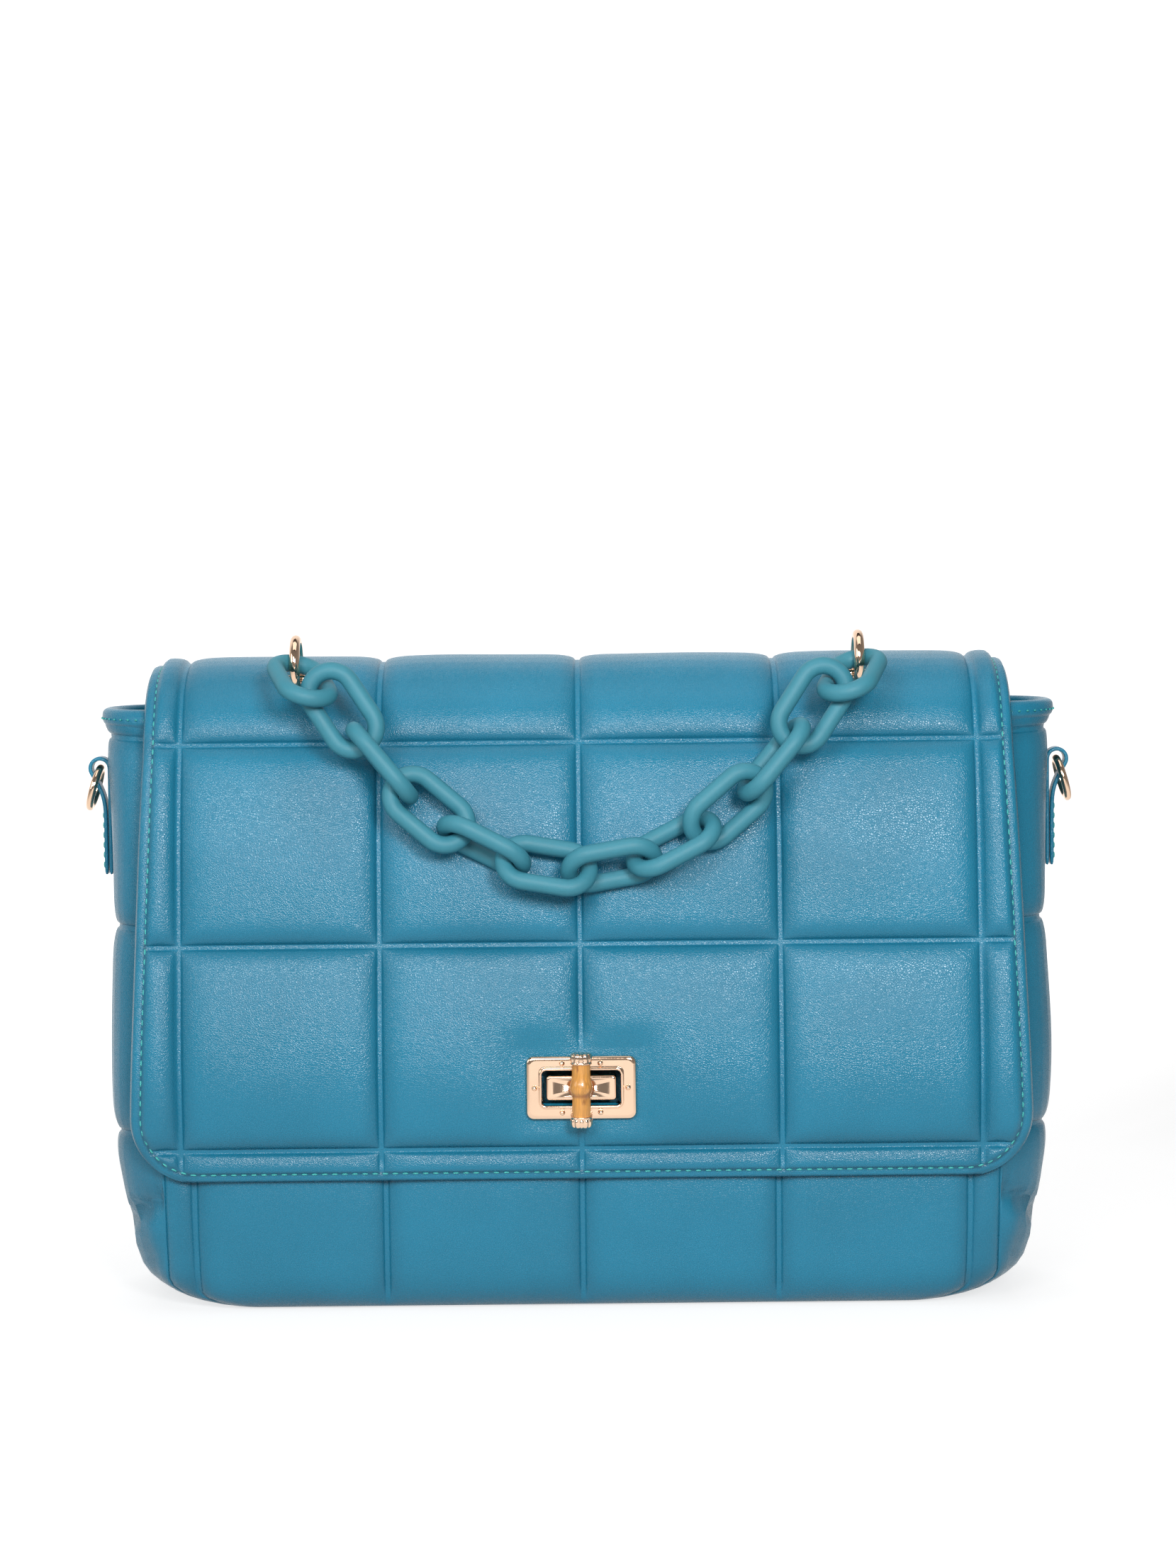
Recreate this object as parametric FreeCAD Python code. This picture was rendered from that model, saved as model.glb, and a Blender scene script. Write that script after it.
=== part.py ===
import FreeCAD, Part
import math
import os

# A chain shoulder bag: a soft quilted body with a flap, a turn lock with a bamboo knob,
# a handle of twelve moulded links on two metal rings, and a strap ring on each side.
# X runs along the bag to the right, the front faces -Y, Z is up, and the origin is
# the middle of the base. Lengths are in millimetres and angles in degrees.

# Driving dimensions of the body
RIM_HEIGHT = 215.0
RIM_LENGTH = 350.0
RIM_DEPTH = 56.0
SHOULDER_UNDER_RIM = 30.0
SHOULDER_HEIGHT = RIM_HEIGHT - SHOULDER_UNDER_RIM
SHOULDER_LENGTH = 342.0
SHOULDER_DEPTH = 76.0
WAIST_HEIGHT = 100.0
WAIST_LENGTH = 341.0
WAIST_DEPTH = 103.0
BULGE_HEIGHT = 45.0
BULGE_LENGTH = 334.0
BULGE_DEPTH = 108.0
ROLL_HEIGHT = 18.0
ROLL_LENGTH = 320.0
ROLL_DEPTH = 105.0
ROLL_IN_LENGTH = 34.0
ROLL_IN_DEPTH = 10.0
CORNER_RADIUS = 25.0
BASE_CORNER_RADIUS = 15.0
SEAM_IN = 20.5
SEAM_HALF = WAIST_LENGTH / 2.0 - SEAM_IN
BASE_PANEL_HEIGHT = 6.0
PANEL_WALL = 3.3
LINING_WALL = 1.0
FACING_WALL = 1.6
FACING_HEIGHT = 30.0
BOARD_THICKNESS = 2.0
BOARD_MARGIN = 6.0
SEWN_GAP = 0.3

# Driving dimensions of the flap
CREST_OVER_RIM = 17.0
CREST_HEIGHT = RIM_HEIGHT + CREST_OVER_RIM
FLAP_EDGE_HEIGHT = 48.0
FLAP_EDGE_IN = 2.3
FLAP_CLEARANCE = 10.0
FLAP_FRONT = WAIST_DEPTH / 2.0 + FLAP_CLEARANCE
FLAP_SWELL_UP = 49.0
FLAP_SWELL_IN = 5.5
FLAP_SHOULDER_HEIGHT = (SHOULDER_HEIGHT + RIM_HEIGHT) / 2.0
FLAP_SHOULDER_FRONT = (SHOULDER_DEPTH + RIM_DEPTH) / 4.0 + FLAP_CLEARANCE
FLAP_LOW_MARGIN = 6.0
FLAP_LOW_HALF = BULGE_LENGTH / 2.0 - FLAP_LOW_MARGIN
FLAP_TOP_MARGIN = 19.5
FLAP_TOP_HALF = RIM_LENGTH / 2.0 - FLAP_TOP_MARGIN
FLAP_BACK_IN = 9.0
FLAP_BACK_DROP = 11.5
FLAP_CORNER = 24.0
FLAP_PADDING = 3.4
FLAP_LINING = 1.2
FLAP_LAYER_GAP = 0.1
HINGE_UNDER_RIM = 9.0
HINGE_HEIGHT = RIM_HEIGHT - HINGE_UNDER_RIM
HINGE_CLEARANCE = 11.5
HINGE_BACK = RIM_DEPTH / 2.0 + HINGE_CLEARANCE
HEM_HEIGHT = 30.0
HEM_THICKNESS = 3.0
FLAP_HEM_GAP = 0.4

# Driving dimensions of the quilting on the flap
CELL_LENGTH = 71.6
CELL_HEIGHT = 73.5
FIRST_LINE_UP = 11.5
CHANNEL_WIDTH = 2.0
CHANNEL_DEPTH = 0.8

# Driving dimensions of the turn lock
LOCK_HEIGHT = 82.0
PLATE_LENGTH = 39.0
PLATE_HEIGHT = 22.5
PLATE_CORNER = 2.6
PLATE_THICKNESS = 1.6
PLATE_GAP = 0.05
SLOT_LENGTH = 28.0
SLOT_HEIGHT = 12.6
SLOT_CORNER = 1.6
SLOT_RIM_WIDTH = 1.0
SLOT_RIM_HEIGHT = 0.8
FLAP_SLOT_MARGIN = 0.6
FRAME_BACKPLATE_THICKNESS = 0.8
FRAME_BACKPLATE_MARGIN = 1.2
RIVET_X = 6.8
RIVET_Z = 8.8
RIVET_SIDE_X = 16.6
RIVET_RADIUS = 0.7
RIVET_HEAD_RADIUS = 1.0
RIVET_CLEARANCE = 0.15
BLOCK_LENGTH = 25.0
BLOCK_HEIGHT = 9.0
BLOCK_CORNER = 1.2
BLOCK_RECESS = 0.4
PRONG_X = 9.5
PRONG_LENGTH = 3.0
PRONG_THICKNESS = 1.0
PRONG_CLEARANCE = 0.2
BACKPLATE_LENGTH = 30.0
BACKPLATE_HEIGHT = 12.0
BACKPLATE_THICKNESS = 1.0
BACKPLATE_POCKET = 1.3
POST_RADIUS = 2.0
POST_CLEARANCE = 0.1
POST_HEAD_RADIUS = 3.0
POST_HEAD_THICKNESS = 1.0
SPRING_THICKNESS = 0.8
SPRING_PLAY = 0.3
POCKET_RADIUS = 3.6
POCKET_DEPTH = 4.1
KNOB_LENGTH = 26.6
KNOB_RADIUS = 3.3
KNOB_NODE_RADIUS = 3.7
KNOB_NODE_DROP = 1.2
CAP_LENGTH = 4.0
CAP_RADIUS = 3.8
CAP_SOCKET_DEPTH = 2.6
KNOB_CLEARANCE = 0.5

# Driving dimensions of the handle
RING_X = 101.0
RING_OUTER = 21.0
RING_WIRE = 3.7
BRIDGE_FOOT_FRONT = 30.0
BRIDGE_FOOT_DROP = 10.0
BRIDGE_BAR_UP = 6.95
BRIDGE_HALF = 6.0
BRIDGE_BEND = 2.6
BRIDGE_WIRE = 2.6
BRIDGE_FOOT_RADIUS = 3.2
BRIDGE_FOOT_THICKNESS = 0.9
BRIDGE_SHANK_RADIUS = 1.1
BRIDGE_SHANK_CLEARANCE = 0.15
BRIDGE_WASHER_RADIUS = 3.0
BRIDGE_WASHER_THICKNESS = 0.8
RING_BAR_PLAY = 0.3
LINK_LENGTH = 36.8
LINK_WIDTH = 22.5
LINK_WIRE = 6.2
LINK_PLAY = 1.0
LINKS_PER_SIDE = 6
END_LINK_PLAN = 18.0
END_LINK_SLOPE = 22.0
END_LINK_HOOK = 70.0
END_LINK_REST = 8.0
HANDLE_LEAN = 0.11
LINK_ROLLS = (-8.0, 1.0, 84.0, -20.0, 64.0, -40.0, 44.0, -60.0, 24.0, -80.0, 3.0, -8.0)

# Driving dimensions of the strap rings and their tabs
STRAP_RING_OUTER = 17.8
STRAP_RING_WIRE = 2.7
STRAP_RING_LEAN = 16.0
TAB_UNDER_RIM = 17.0
TAB_TOP_HEIGHT = RIM_HEIGHT - TAB_UNDER_RIM
TAB_LENGTH = 44.0
TAB_WIDTH = 7.0
TAB_LAYER = 1.6
TAB_LOOP_PLAY = 1.45
TAB_NECK_DROP = 12.0

BIG = 1000.0
CURVE_STEPS = 28
WALL_STEPS = 9


def vec(x, y, z):
    return FreeCAD.Vector(x, y, z)


def slab(x0, x1, y0, y1, z0, z1):
    return Part.makeBox(x1 - x0, y1 - y0, z1 - z0, vec(x0, y0, z0))


def save(shape, node):
    shape.exportStep("parts/%s.step" % node)


def one_solid(shape):
    solids = shape.Solids
    return max(solids, key=lambda solid: solid.Volume)


def rounded_plate(length, height, corner, y_front, y_back, x=0.0, z=LOCK_HEIGHT):
    """An upright plate with round corners, between two depths."""
    face = Part.Face(rounded_wire(length, height, corner, x, z, y_front))
    return face.extrude(vec(0, y_back - y_front, 0))


def rounded_wire(length, height, corner, x, z, y):
    half_l = length / 2.0
    half_h = height / 2.0
    turn = corner * (1.0 - math.sqrt(0.5))
    corners = ((1, -1), (1, 1), (-1, 1), (-1, -1))
    edges = []
    previous = None
    first = None
    for sx, sz in corners:
        along = vec(x + sx * half_l, y, z + sz * (half_h - corner))
        across = vec(x + sx * (half_l - corner), y, z + sz * half_h)
        middle = vec(x + sx * (half_l - turn), y, z + sz * (half_h - turn))
        start, end = (across, along) if sx * sz < 0 else (along, across)
        if previous is None:
            first = start
        else:
            edges.append(Part.LineSegment(previous, start).toShape())
        edges.append(Part.Arc(start, middle, end).toShape())
        previous = end
    edges.append(Part.LineSegment(previous, first).toShape())
    return Part.Wire(edges)


# Body

def body_rows():
    """Height, length, depth and corner radius of each level section of the body."""
    rows = []
    for share in (0.0, 0.1, 0.35, 1.0):
        inset = 1.0 - math.sqrt(1.0 - (1.0 - share) ** 2)
        corner = CORNER_RADIUS + (BASE_CORNER_RADIUS - CORNER_RADIUS) * inset
        length = ROLL_LENGTH - 2.0 * ROLL_IN_LENGTH * inset
        depth = ROLL_DEPTH - 2.0 * ROLL_IN_DEPTH * inset
        rows.append((ROLL_HEIGHT * share, length, depth, corner))
    drawn = Part.BSplineCurve()
    drawn.interpolate([
        vec(ROLL_LENGTH, ROLL_DEPTH, ROLL_HEIGHT), vec(BULGE_LENGTH, BULGE_DEPTH, BULGE_HEIGHT),
        vec(WAIST_LENGTH, WAIST_DEPTH, WAIST_HEIGHT), vec(SHOULDER_LENGTH, SHOULDER_DEPTH, SHOULDER_HEIGHT),
        vec(RIM_LENGTH, RIM_DEPTH, RIM_HEIGHT),
    ])
    for step in range(1, WALL_STEPS + 1):
        share = step / WALL_STEPS
        point = drawn.value(drawn.FirstParameter + (drawn.LastParameter - drawn.FirstParameter) * share)
        rows.append((point.z, point.x, point.y, CORNER_RADIUS))
    return rows


def level_wire(height, length, depth, corner):
    half_l = length / 2.0
    half_d = depth / 2.0
    turn = corner * (1.0 - math.sqrt(0.5))
    edges = []
    previous = None
    first = None
    for sx, sy in ((1, -1), (1, 1), (-1, 1), (-1, -1)):
        along = vec(sx * half_l, sy * (half_d - corner), height)
        across = vec(sx * (half_l - corner), sy * half_d, height)
        middle = vec(sx * (half_l - turn), sy * (half_d - turn), height)
        start, end = (across, along) if sx * sy < 0 else (along, across)
        if previous is None:
            first = start
        else:
            edges.append(Part.LineSegment(previous, start).toShape())
        edges.append(Part.Arc(start, middle, end).toShape())
        previous = end
    edges.append(Part.LineSegment(previous, first).toShape())
    return Part.Wire(edges)


def body_form(inset):
    """The body's form, drawn in on all sides by an inset."""
    wires = []
    for height, length, depth, corner in body_rows():
        wire = level_wire(height, length - 2 * inset, depth - 2 * inset, corner - inset)
        wires.append(wire)
    return Part.makeLoft(wires, True, True)


def between_heights(shape, low, high):
    return shape.common(slab(-BIG, BIG, -BIG, BIG, low, high))


def first_hit(solid, start, direction):
    """Where a straight line first meets a solid."""
    line = Part.LineSegment(start, start + direction * BIG).toShape()
    inside = solid.common(line)
    points = [vertex.Point for vertex in inside.Vertexes]
    return min(points, key=lambda point: (point - start).Length)


def front_of(solid, height):
    return first_hit(solid, vec(0, -BIG / 2, height), vec(0, 1, 0)).y


def back_of(solid, height):
    return first_hit(solid, vec(0, BIG / 2, height), vec(0, -1, 0)).y


def side_of(solid, height):
    return first_hit(solid, vec(BIG / 2, 0, height), vec(-1, 0, 0)).x


def make_walls(outer):
    floor = PANEL_WALL
    cavity = between_heights(body_form(PANEL_WALL), floor, BIG)
    bucket = outer.cut(cavity)
    low = BASE_PANEL_HEIGHT
    walls = {}
    walls["base_panel"] = between_heights(bucket, -1.0, low)
    walls["front_panel"] = bucket.common(slab(-SEAM_HALF, SEAM_HALF, -BIG, 0, low, BIG))
    walls["back_panel"] = bucket.common(slab(-SEAM_HALF, SEAM_HALF, 0, BIG, low, BIG))
    walls["gusset_left"] = bucket.common(slab(-BIG, -SEAM_HALF, -BIG, BIG, low, BIG))
    walls["gusset_right"] = bucket.common(slab(SEAM_HALF, BIG, -BIG, BIG, low, BIG))
    return {node: one_solid(shape) for node, shape in walls.items()}


def make_inside():
    board_low = PANEL_WALL
    length = ROLL_LENGTH - 2 * ROLL_IN_LENGTH - 2 * BOARD_MARGIN
    depth = ROLL_DEPTH - 2 * ROLL_IN_DEPTH - 2 * BOARD_MARGIN
    outline = level_wire(board_low, length, depth, BASE_CORNER_RADIUS - BOARD_MARGIN)
    board = Part.Face(outline).extrude(vec(0, 0, BOARD_THICKNESS))
    skin = body_form(PANEL_WALL + SEWN_GAP)
    lining_low = board_low + BOARD_THICKNESS + SEWN_GAP
    facing_low = RIM_HEIGHT - FACING_HEIGHT
    hollow = body_form(PANEL_WALL + SEWN_GAP + LINING_WALL)
    lining = between_heights(skin, lining_low, facing_low - SEWN_GAP)
    lining = lining.cut(between_heights(hollow, lining_low + LINING_WALL, BIG))
    mouth = body_form(PANEL_WALL + SEWN_GAP + FACING_WALL)
    facing = between_heights(skin, facing_low, BIG).cut(mouth)
    return {"base_board": board, "lining": one_solid(lining), "rim_facing": one_solid(facing)}


# Flap

def flap_curve():
    """The flap's outer line seen from the side, from its front edge to its sewn edge."""
    points = [
        vec(0, -FLAP_FRONT + FLAP_EDGE_IN, FLAP_EDGE_HEIGHT),
        vec(0, -FLAP_FRONT, LOCK_HEIGHT),
        vec(0, -FLAP_FRONT + FLAP_SWELL_IN, LOCK_HEIGHT + FLAP_SWELL_UP),
        vec(0, -FLAP_SHOULDER_FRONT, FLAP_SHOULDER_HEIGHT),
        vec(0, -BRIDGE_FOOT_FRONT, CREST_HEIGHT - BRIDGE_FOOT_DROP),
        vec(0, 0, CREST_HEIGHT),
        vec(0, HINGE_BACK - FLAP_BACK_IN, CREST_HEIGHT - FLAP_BACK_DROP),
        vec(0, HINGE_BACK, HINGE_HEIGHT),
    ]
    curve = Part.BSplineCurve()
    curve.interpolate(points)
    return curve


def outward(curve, value):
    tangent = curve.tangent(value)[0]
    return vec(0, -tangent.z, tangent.y).normalize()


def shifted_points(curve, shift):
    first, last = curve.FirstParameter, curve.LastParameter
    points = []
    for step in range(CURVE_STEPS + 1):
        value = first + (last - first) * step / CURVE_STEPS
        points.append(curve.value(value) + outward(curve, value) * shift)
    return points


def flap_band(curve, outside, inside, x0, x1):
    """A layer that follows the flap between two distances from its outer line."""
    lines = []
    for shift in (outside, inside):
        line = Part.BSplineCurve()
        line.interpolate(shifted_points(curve, shift))
        lines.append(line)
    top, under = lines
    edges = [
        top.toShape(),
        Part.LineSegment(top.EndPoint, under.EndPoint).toShape(),
        under.toShape(),
        Part.LineSegment(under.StartPoint, top.StartPoint).toShape(),
    ]
    face = Part.Face(Part.Wire(Part.__sortEdges__(edges)))
    face.translate(vec(x0, 0, 0))
    return face.extrude(vec(x1 - x0, 0, 0))


def flap_outline(margin):
    """The flap's outline seen from the front, as a block through the whole depth."""
    low = FLAP_EDGE_HEIGHT + margin
    low_half = FLAP_LOW_HALF - margin
    top_half = FLAP_TOP_HALF - margin
    top = CREST_HEIGHT + BIG / 10
    bend = FLAP_SHOULDER_HEIGHT
    corners = [
        vec(-low_half, -BIG, low), vec(low_half, -BIG, low), vec(top_half, -BIG, bend),
        vec(top_half, -BIG, top), vec(-top_half, -BIG, top), vec(-top_half, -BIG, bend),
    ]
    block = Part.Face(Part.makePolygon(corners + corners[:1])).extrude(vec(0, 2 * BIG, 0))
    lowest = [edge for edge in block.Edges if is_low_corner(edge, low)]
    return block.makeFillet(FLAP_CORNER - margin, lowest)


def is_low_corner(edge, low):
    ends = [vertex.Point for vertex in edge.Vertexes]
    return all(abs(point.z - low) < 0.01 for point in ends) and abs(ends[0].x - ends[1].x) < 0.01


def value_at_length(curve, length):
    return curve.parameterAtDistance(length, curve.FirstParameter)


def depths_behind_plate(curve, shift):
    """Depths of one face of the flap over the height of the lock's plate."""
    depths = []
    for step in range(CURVE_STEPS + 1):
        height = LOCK_HEIGHT + PLATE_HEIGHT * (step / CURVE_STEPS - 0.5)
        value = curve.parameter(vec(0, -FLAP_FRONT, height))
        depths.append((curve.value(value) + outward(curve, value) * shift).y)
    return depths


def quilt_channels(curve):
    """The pressed channels of the quilting: lines along the flap and across it."""
    channels = []
    half = CHANNEL_WIDTH / 2.0
    for column in range(-2, 3):
        middle = column * CELL_LENGTH
        channels.append(flap_band(curve, CHANNEL_DEPTH, -CHANNEL_DEPTH, middle - half, middle + half))
    length = FIRST_LINE_UP
    while length < curve.length() - CHANNEL_WIDTH:
        value = value_at_length(curve, length)
        point = curve.value(value)
        normal = outward(curve, value)
        along = curve.tangent(value)[0]
        corner = point - normal * CHANNEL_DEPTH - along * half - vec(BIG / 2, 0, 0)
        side = Part.makePolygon([corner, corner + along * CHANNEL_WIDTH,
                                 corner + along * CHANNEL_WIDTH + normal * 2 * CHANNEL_DEPTH,
                                 corner + normal * 2 * CHANNEL_DEPTH, corner])
        channels.append(Part.Face(side).extrude(vec(BIG, 0, 0)))
        length += CELL_HEIGHT
    return channels


def rivet_places():
    places = [(sx * RIVET_X, sz * RIVET_Z) for sx in (-1, 1) for sz in (-1, 1)]
    return places + [(-RIVET_SIDE_X, 0.0), (RIVET_SIDE_X, 0.0)]


def rod_along_y(radius, y0, y1, x=0.0, z=LOCK_HEIGHT):
    return Part.makeCylinder(radius, y1 - y0, vec(x, y0, z), vec(0, 1, 0))


def bridge_places():
    return [(side, side * RING_X + foot * BRIDGE_HALF) for side in (-1, 1) for foot in (-1, 1)]


def bridge_frame(curve):
    """The point of the flap under a bridge, and the outward direction there."""
    guess = curve.parameter(vec(0, -BRIDGE_FOOT_FRONT, CREST_HEIGHT - BRIDGE_FOOT_DROP))
    return curve.value(guess), outward(curve, guess)


def flap_holes(curve, front):
    """What goes through the flap: the lock's slot, its rivets and the bridges' shanks."""
    y0, y1 = front - 2.0, front + FLAP_PADDING + FLAP_LINING + 6.0
    slot_l = SLOT_LENGTH + 2 * FLAP_SLOT_MARGIN
    slot_h = SLOT_HEIGHT + 2 * FLAP_SLOT_MARGIN
    holes = [rounded_plate(slot_l, slot_h, SLOT_CORNER, y0, y1)]
    for x, z in rivet_places():
        holes.append(rod_along_y(RIVET_RADIUS + RIVET_CLEARANCE, y0, y1, x, LOCK_HEIGHT + z))
    foot, normal = bridge_frame(curve)
    radius = BRIDGE_SHANK_RADIUS + BRIDGE_SHANK_CLEARANCE
    for side, x in bridge_places():
        start = foot + normal * 2.0 + vec(x, 0, 0)
        holes.append(Part.makeCylinder(radius, 14.0, start, normal * -1))
    return holes


def make_flap(curve, front):
    outline = flap_outline(0.0)
    holes = flap_holes(curve, front)
    width = FLAP_LOW_HALF + 10.0
    outer = flap_band(curve, 0.0, -FLAP_PADDING, -width, width).common(outline)
    outer = outer.cut(quilt_channels(curve) + holes)
    under = -FLAP_PADDING - FLAP_LAYER_GAP
    lining = flap_band(curve, under, under - FLAP_LINING, -width, width).common(outline)
    lining = lining.cut(holes)
    return {"flap_outer": one_solid(outer), "flap_lining": one_solid(lining)}


def make_hem(outer, curve):
    """The strip below the flap's fold, sewn flat to the back panel."""
    end = curve.LastParameter
    top_out = curve.value(end) + curve.tangent(end)[0] * FLAP_HEM_GAP
    top_in = top_out - outward(curve, end) * (FLAP_PADDING + FLAP_LAYER_GAP + FLAP_LINING)
    low = HINGE_HEIGHT - HEM_HEIGHT
    middle = HINGE_HEIGHT - HEM_HEIGHT / 2.0
    low_in = back_of(outer, low) + SEWN_GAP
    middle_in = back_of(outer, middle) + SEWN_GAP
    corners = [
        top_out, vec(0, middle_in + HEM_THICKNESS, middle), vec(0, low_in + HEM_THICKNESS, low),
        vec(0, low_in, low), vec(0, middle_in, middle), top_in,
    ]
    face = Part.Face(Part.makePolygon(corners + corners[:1]))
    face.translate(vec(-FLAP_TOP_HALF, 0, 0))
    return {"flap_back_hem": face.extrude(vec(2 * FLAP_TOP_HALF, 0, 0))}


# Turn lock

def make_frame(curve, front):
    face = front - PLATE_THICKNESS
    plate = rounded_plate(PLATE_LENGTH, PLATE_HEIGHT, PLATE_CORNER, face, front)
    edges = [edge for edge in plate.Edges if all(abs(v.Point.y - face) < 0.01 for v in edge.Vertexes)]
    plate = plate.makeFillet(PLATE_THICKNESS * 0.4, edges)
    rim_l = SLOT_LENGTH + 2 * SLOT_RIM_WIDTH
    rim_h = SLOT_HEIGHT + 2 * SLOT_RIM_WIDTH
    rim = rounded_plate(rim_l, rim_h, SLOT_CORNER + SLOT_RIM_WIDTH, face - SLOT_RIM_HEIGHT, front)
    slot = rounded_plate(SLOT_LENGTH, SLOT_HEIGHT, SLOT_CORNER, front - 10.0, front + 10.0)
    under = FLAP_PADDING + FLAP_LAYER_GAP + FLAP_LINING
    inner = max(depths_behind_plate(curve, -under)) + SEWN_GAP
    margin = 2 * FRAME_BACKPLATE_MARGIN
    back = rounded_plate(PLATE_LENGTH - margin, PLATE_HEIGHT - margin, PLATE_CORNER,
                         inner, inner + FRAME_BACKPLATE_THICKNESS)
    frame = plate.fuse(rim).removeSplitter().cut(slot)
    back = back.cut(rounded_plate(SLOT_LENGTH, SLOT_HEIGHT, SLOT_CORNER, inner - 1.0, inner + 2.0))
    rivets = []
    for x, z in rivet_places():
        height = LOCK_HEIGHT + z
        hole = rod_along_y(RIVET_RADIUS + RIVET_CLEARANCE, face - 2.0, inner + 3.0, x, height)
        frame = frame.cut(hole)
        back = back.cut(hole)
        shank = rod_along_y(RIVET_RADIUS, face - 0.1, inner + FRAME_BACKPLATE_THICKNESS, x, height)
        head = Part.makeSphere(RIVET_HEAD_RADIUS, vec(x, face, height))
        head = head.common(slab(-BIG, BIG, -BIG, face, -BIG, BIG))
        rivets.append(shank.fuse(head).removeSplitter())
    return {
        "lock_frame": one_solid(frame),
        "lock_frame_backplate": one_solid(back),
        "lock_rivets": Part.makeCompound(rivets),
    }


def make_lock_base(outer, walls, frame_front):
    """The block on the front panel, its plate behind the panel and the spring washer in it."""
    seat = min(front_of(outer, LOCK_HEIGHT + up) for up in (-BLOCK_HEIGHT / 2, 0, BLOCK_HEIGHT / 2))
    block_front = frame_front + BLOCK_RECESS
    block = rounded_plate(BLOCK_LENGTH, BLOCK_HEIGHT, BLOCK_CORNER, block_front, seat)
    block = block.cut(rod_along_y(POST_RADIUS + POST_CLEARANCE, block_front - 1.0, seat + 1.0))
    pocket_front = seat - POCKET_DEPTH
    block = block.cut(rod_along_y(POCKET_RADIUS, pocket_front, seat + 1.0))
    panel_inner = seat + PANEL_WALL
    plate_front = panel_inner - BACKPLATE_POCKET
    plate_back = plate_front + BACKPLATE_THICKNESS
    plate = rounded_plate(BACKPLATE_LENGTH, BACKPLATE_HEIGHT, BLOCK_CORNER, plate_front, plate_back)
    pocket = rounded_plate(BACKPLATE_LENGTH + 2 * PRONG_CLEARANCE, BACKPLATE_HEIGHT + 2 * PRONG_CLEARANCE,
                           BLOCK_CORNER, plate_front, panel_inner + 3.0)
    panel = walls["front_panel"].cut(pocket)
    for side in (-1, 1):
        x = side * PRONG_X
        prong = rounded_plate(PRONG_LENGTH, PRONG_THICKNESS, 0.3, seat - 0.5, plate_back, x)
        opening = rounded_plate(PRONG_LENGTH + 2 * PRONG_CLEARANCE, PRONG_THICKNESS + 2 * PRONG_CLEARANCE,
                                0.3, seat - 0.2, plate_back + 1.0, x)
        block = block.fuse(prong)
        panel = panel.cut(opening)
        plate = plate.cut(opening)
    spring_back = pocket_front + SPRING_THICKNESS
    spring = rod_along_y(POCKET_RADIUS - POST_CLEARANCE, pocket_front, spring_back)
    spring = spring.cut(rod_along_y(POST_RADIUS + SPRING_PLAY, pocket_front - 1.0, spring_back + 1.0))
    walls["front_panel"] = one_solid(panel)
    pieces = {
        "lock_base": one_solid(block.removeSplitter()),
        "lock_backplate": one_solid(plate),
        "lock_spring": spring,
    }
    return pieces, spring_back + SPRING_PLAY


def make_knob(frame_front, head_front):
    """The bamboo bar with its two caps, on a post that turns in the block."""
    bar_y = frame_front - KNOB_CLEARANCE - CAP_RADIUS
    half = KNOB_LENGTH / 2.0
    stem_half = half - CAP_LENGTH + CAP_SOCKET_DEPTH
    node = -KNOB_NODE_DROP
    ends = [
        vec(KNOB_RADIUS, 0, -stem_half), vec(KNOB_RADIUS - 0.2, 0, node - 3.2), vec(KNOB_NODE_RADIUS, 0, node),
        vec(KNOB_RADIUS - 0.2, 0, node + 3.2), vec(KNOB_RADIUS, 0, stem_half),
    ]
    side = Part.BSplineCurve()
    side.interpolate(ends)
    axis_low, axis_high = vec(0, 0, -stem_half), vec(0, 0, stem_half)
    edges = [
        side.toShape(), Part.LineSegment(ends[-1], axis_high).toShape(),
        Part.LineSegment(axis_high, axis_low).toShape(), Part.LineSegment(axis_low, ends[0]).toShape(),
    ]
    bamboo = Part.Face(Part.Wire(edges)).revolve(vec(0, 0, 0), vec(0, 0, 1), 360)
    socket = Part.makeCylinder(KNOB_RADIUS, CAP_SOCKET_DEPTH, vec(0, 0, half - CAP_LENGTH))
    cap = Part.makeCylinder(CAP_RADIUS, CAP_LENGTH, vec(0, 0, half - CAP_LENGTH))
    tops = [edge for edge in cap.Edges if all(abs(v.Point.z - half) < 0.01 for v in edge.Vertexes)]
    cap = cap.makeFillet((CAP_LENGTH - CAP_SOCKET_DEPTH) * 0.6, tops)
    cap = cap.cut(socket)
    turned_cap = cap.copy()
    turned_cap.rotate(vec(0, 0, 0), vec(1, 0, 0), 180)
    place = vec(0, bar_y, LOCK_HEIGHT)
    for piece in (bamboo, cap, turned_cap):
        piece.translate(place)
    post = rod_along_y(POST_RADIUS, bar_y, head_front)
    head = rod_along_y(POST_HEAD_RADIUS, head_front, head_front + POST_HEAD_THICKNESS)
    bamboo = bamboo.cut(rod_along_y(POST_RADIUS, bar_y, head_front))
    return {
        "knob_bamboo": one_solid(bamboo),
        "knob_cap_top": cap,
        "knob_cap_bottom": turned_cap,
        "knob_post": post.fuse(head).removeSplitter(),
    }


# Handle

def wire_ring(outer, wire, centre, axis):
    return Part.makeTorus((outer - wire) / 2.0, wire / 2.0, centre, axis)


def ring_centre(curve):
    """The centre of a handle ring, which stands upright on the bar of its bridge."""
    foot, normal = bridge_frame(curve)
    bar = foot + normal * BRIDGE_BAR_UP
    hole = RING_OUTER / 2.0 - RING_WIRE
    return bar + vec(0, 0, hole - BRIDGE_WIRE / 2.0 - RING_BAR_PLAY)


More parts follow.
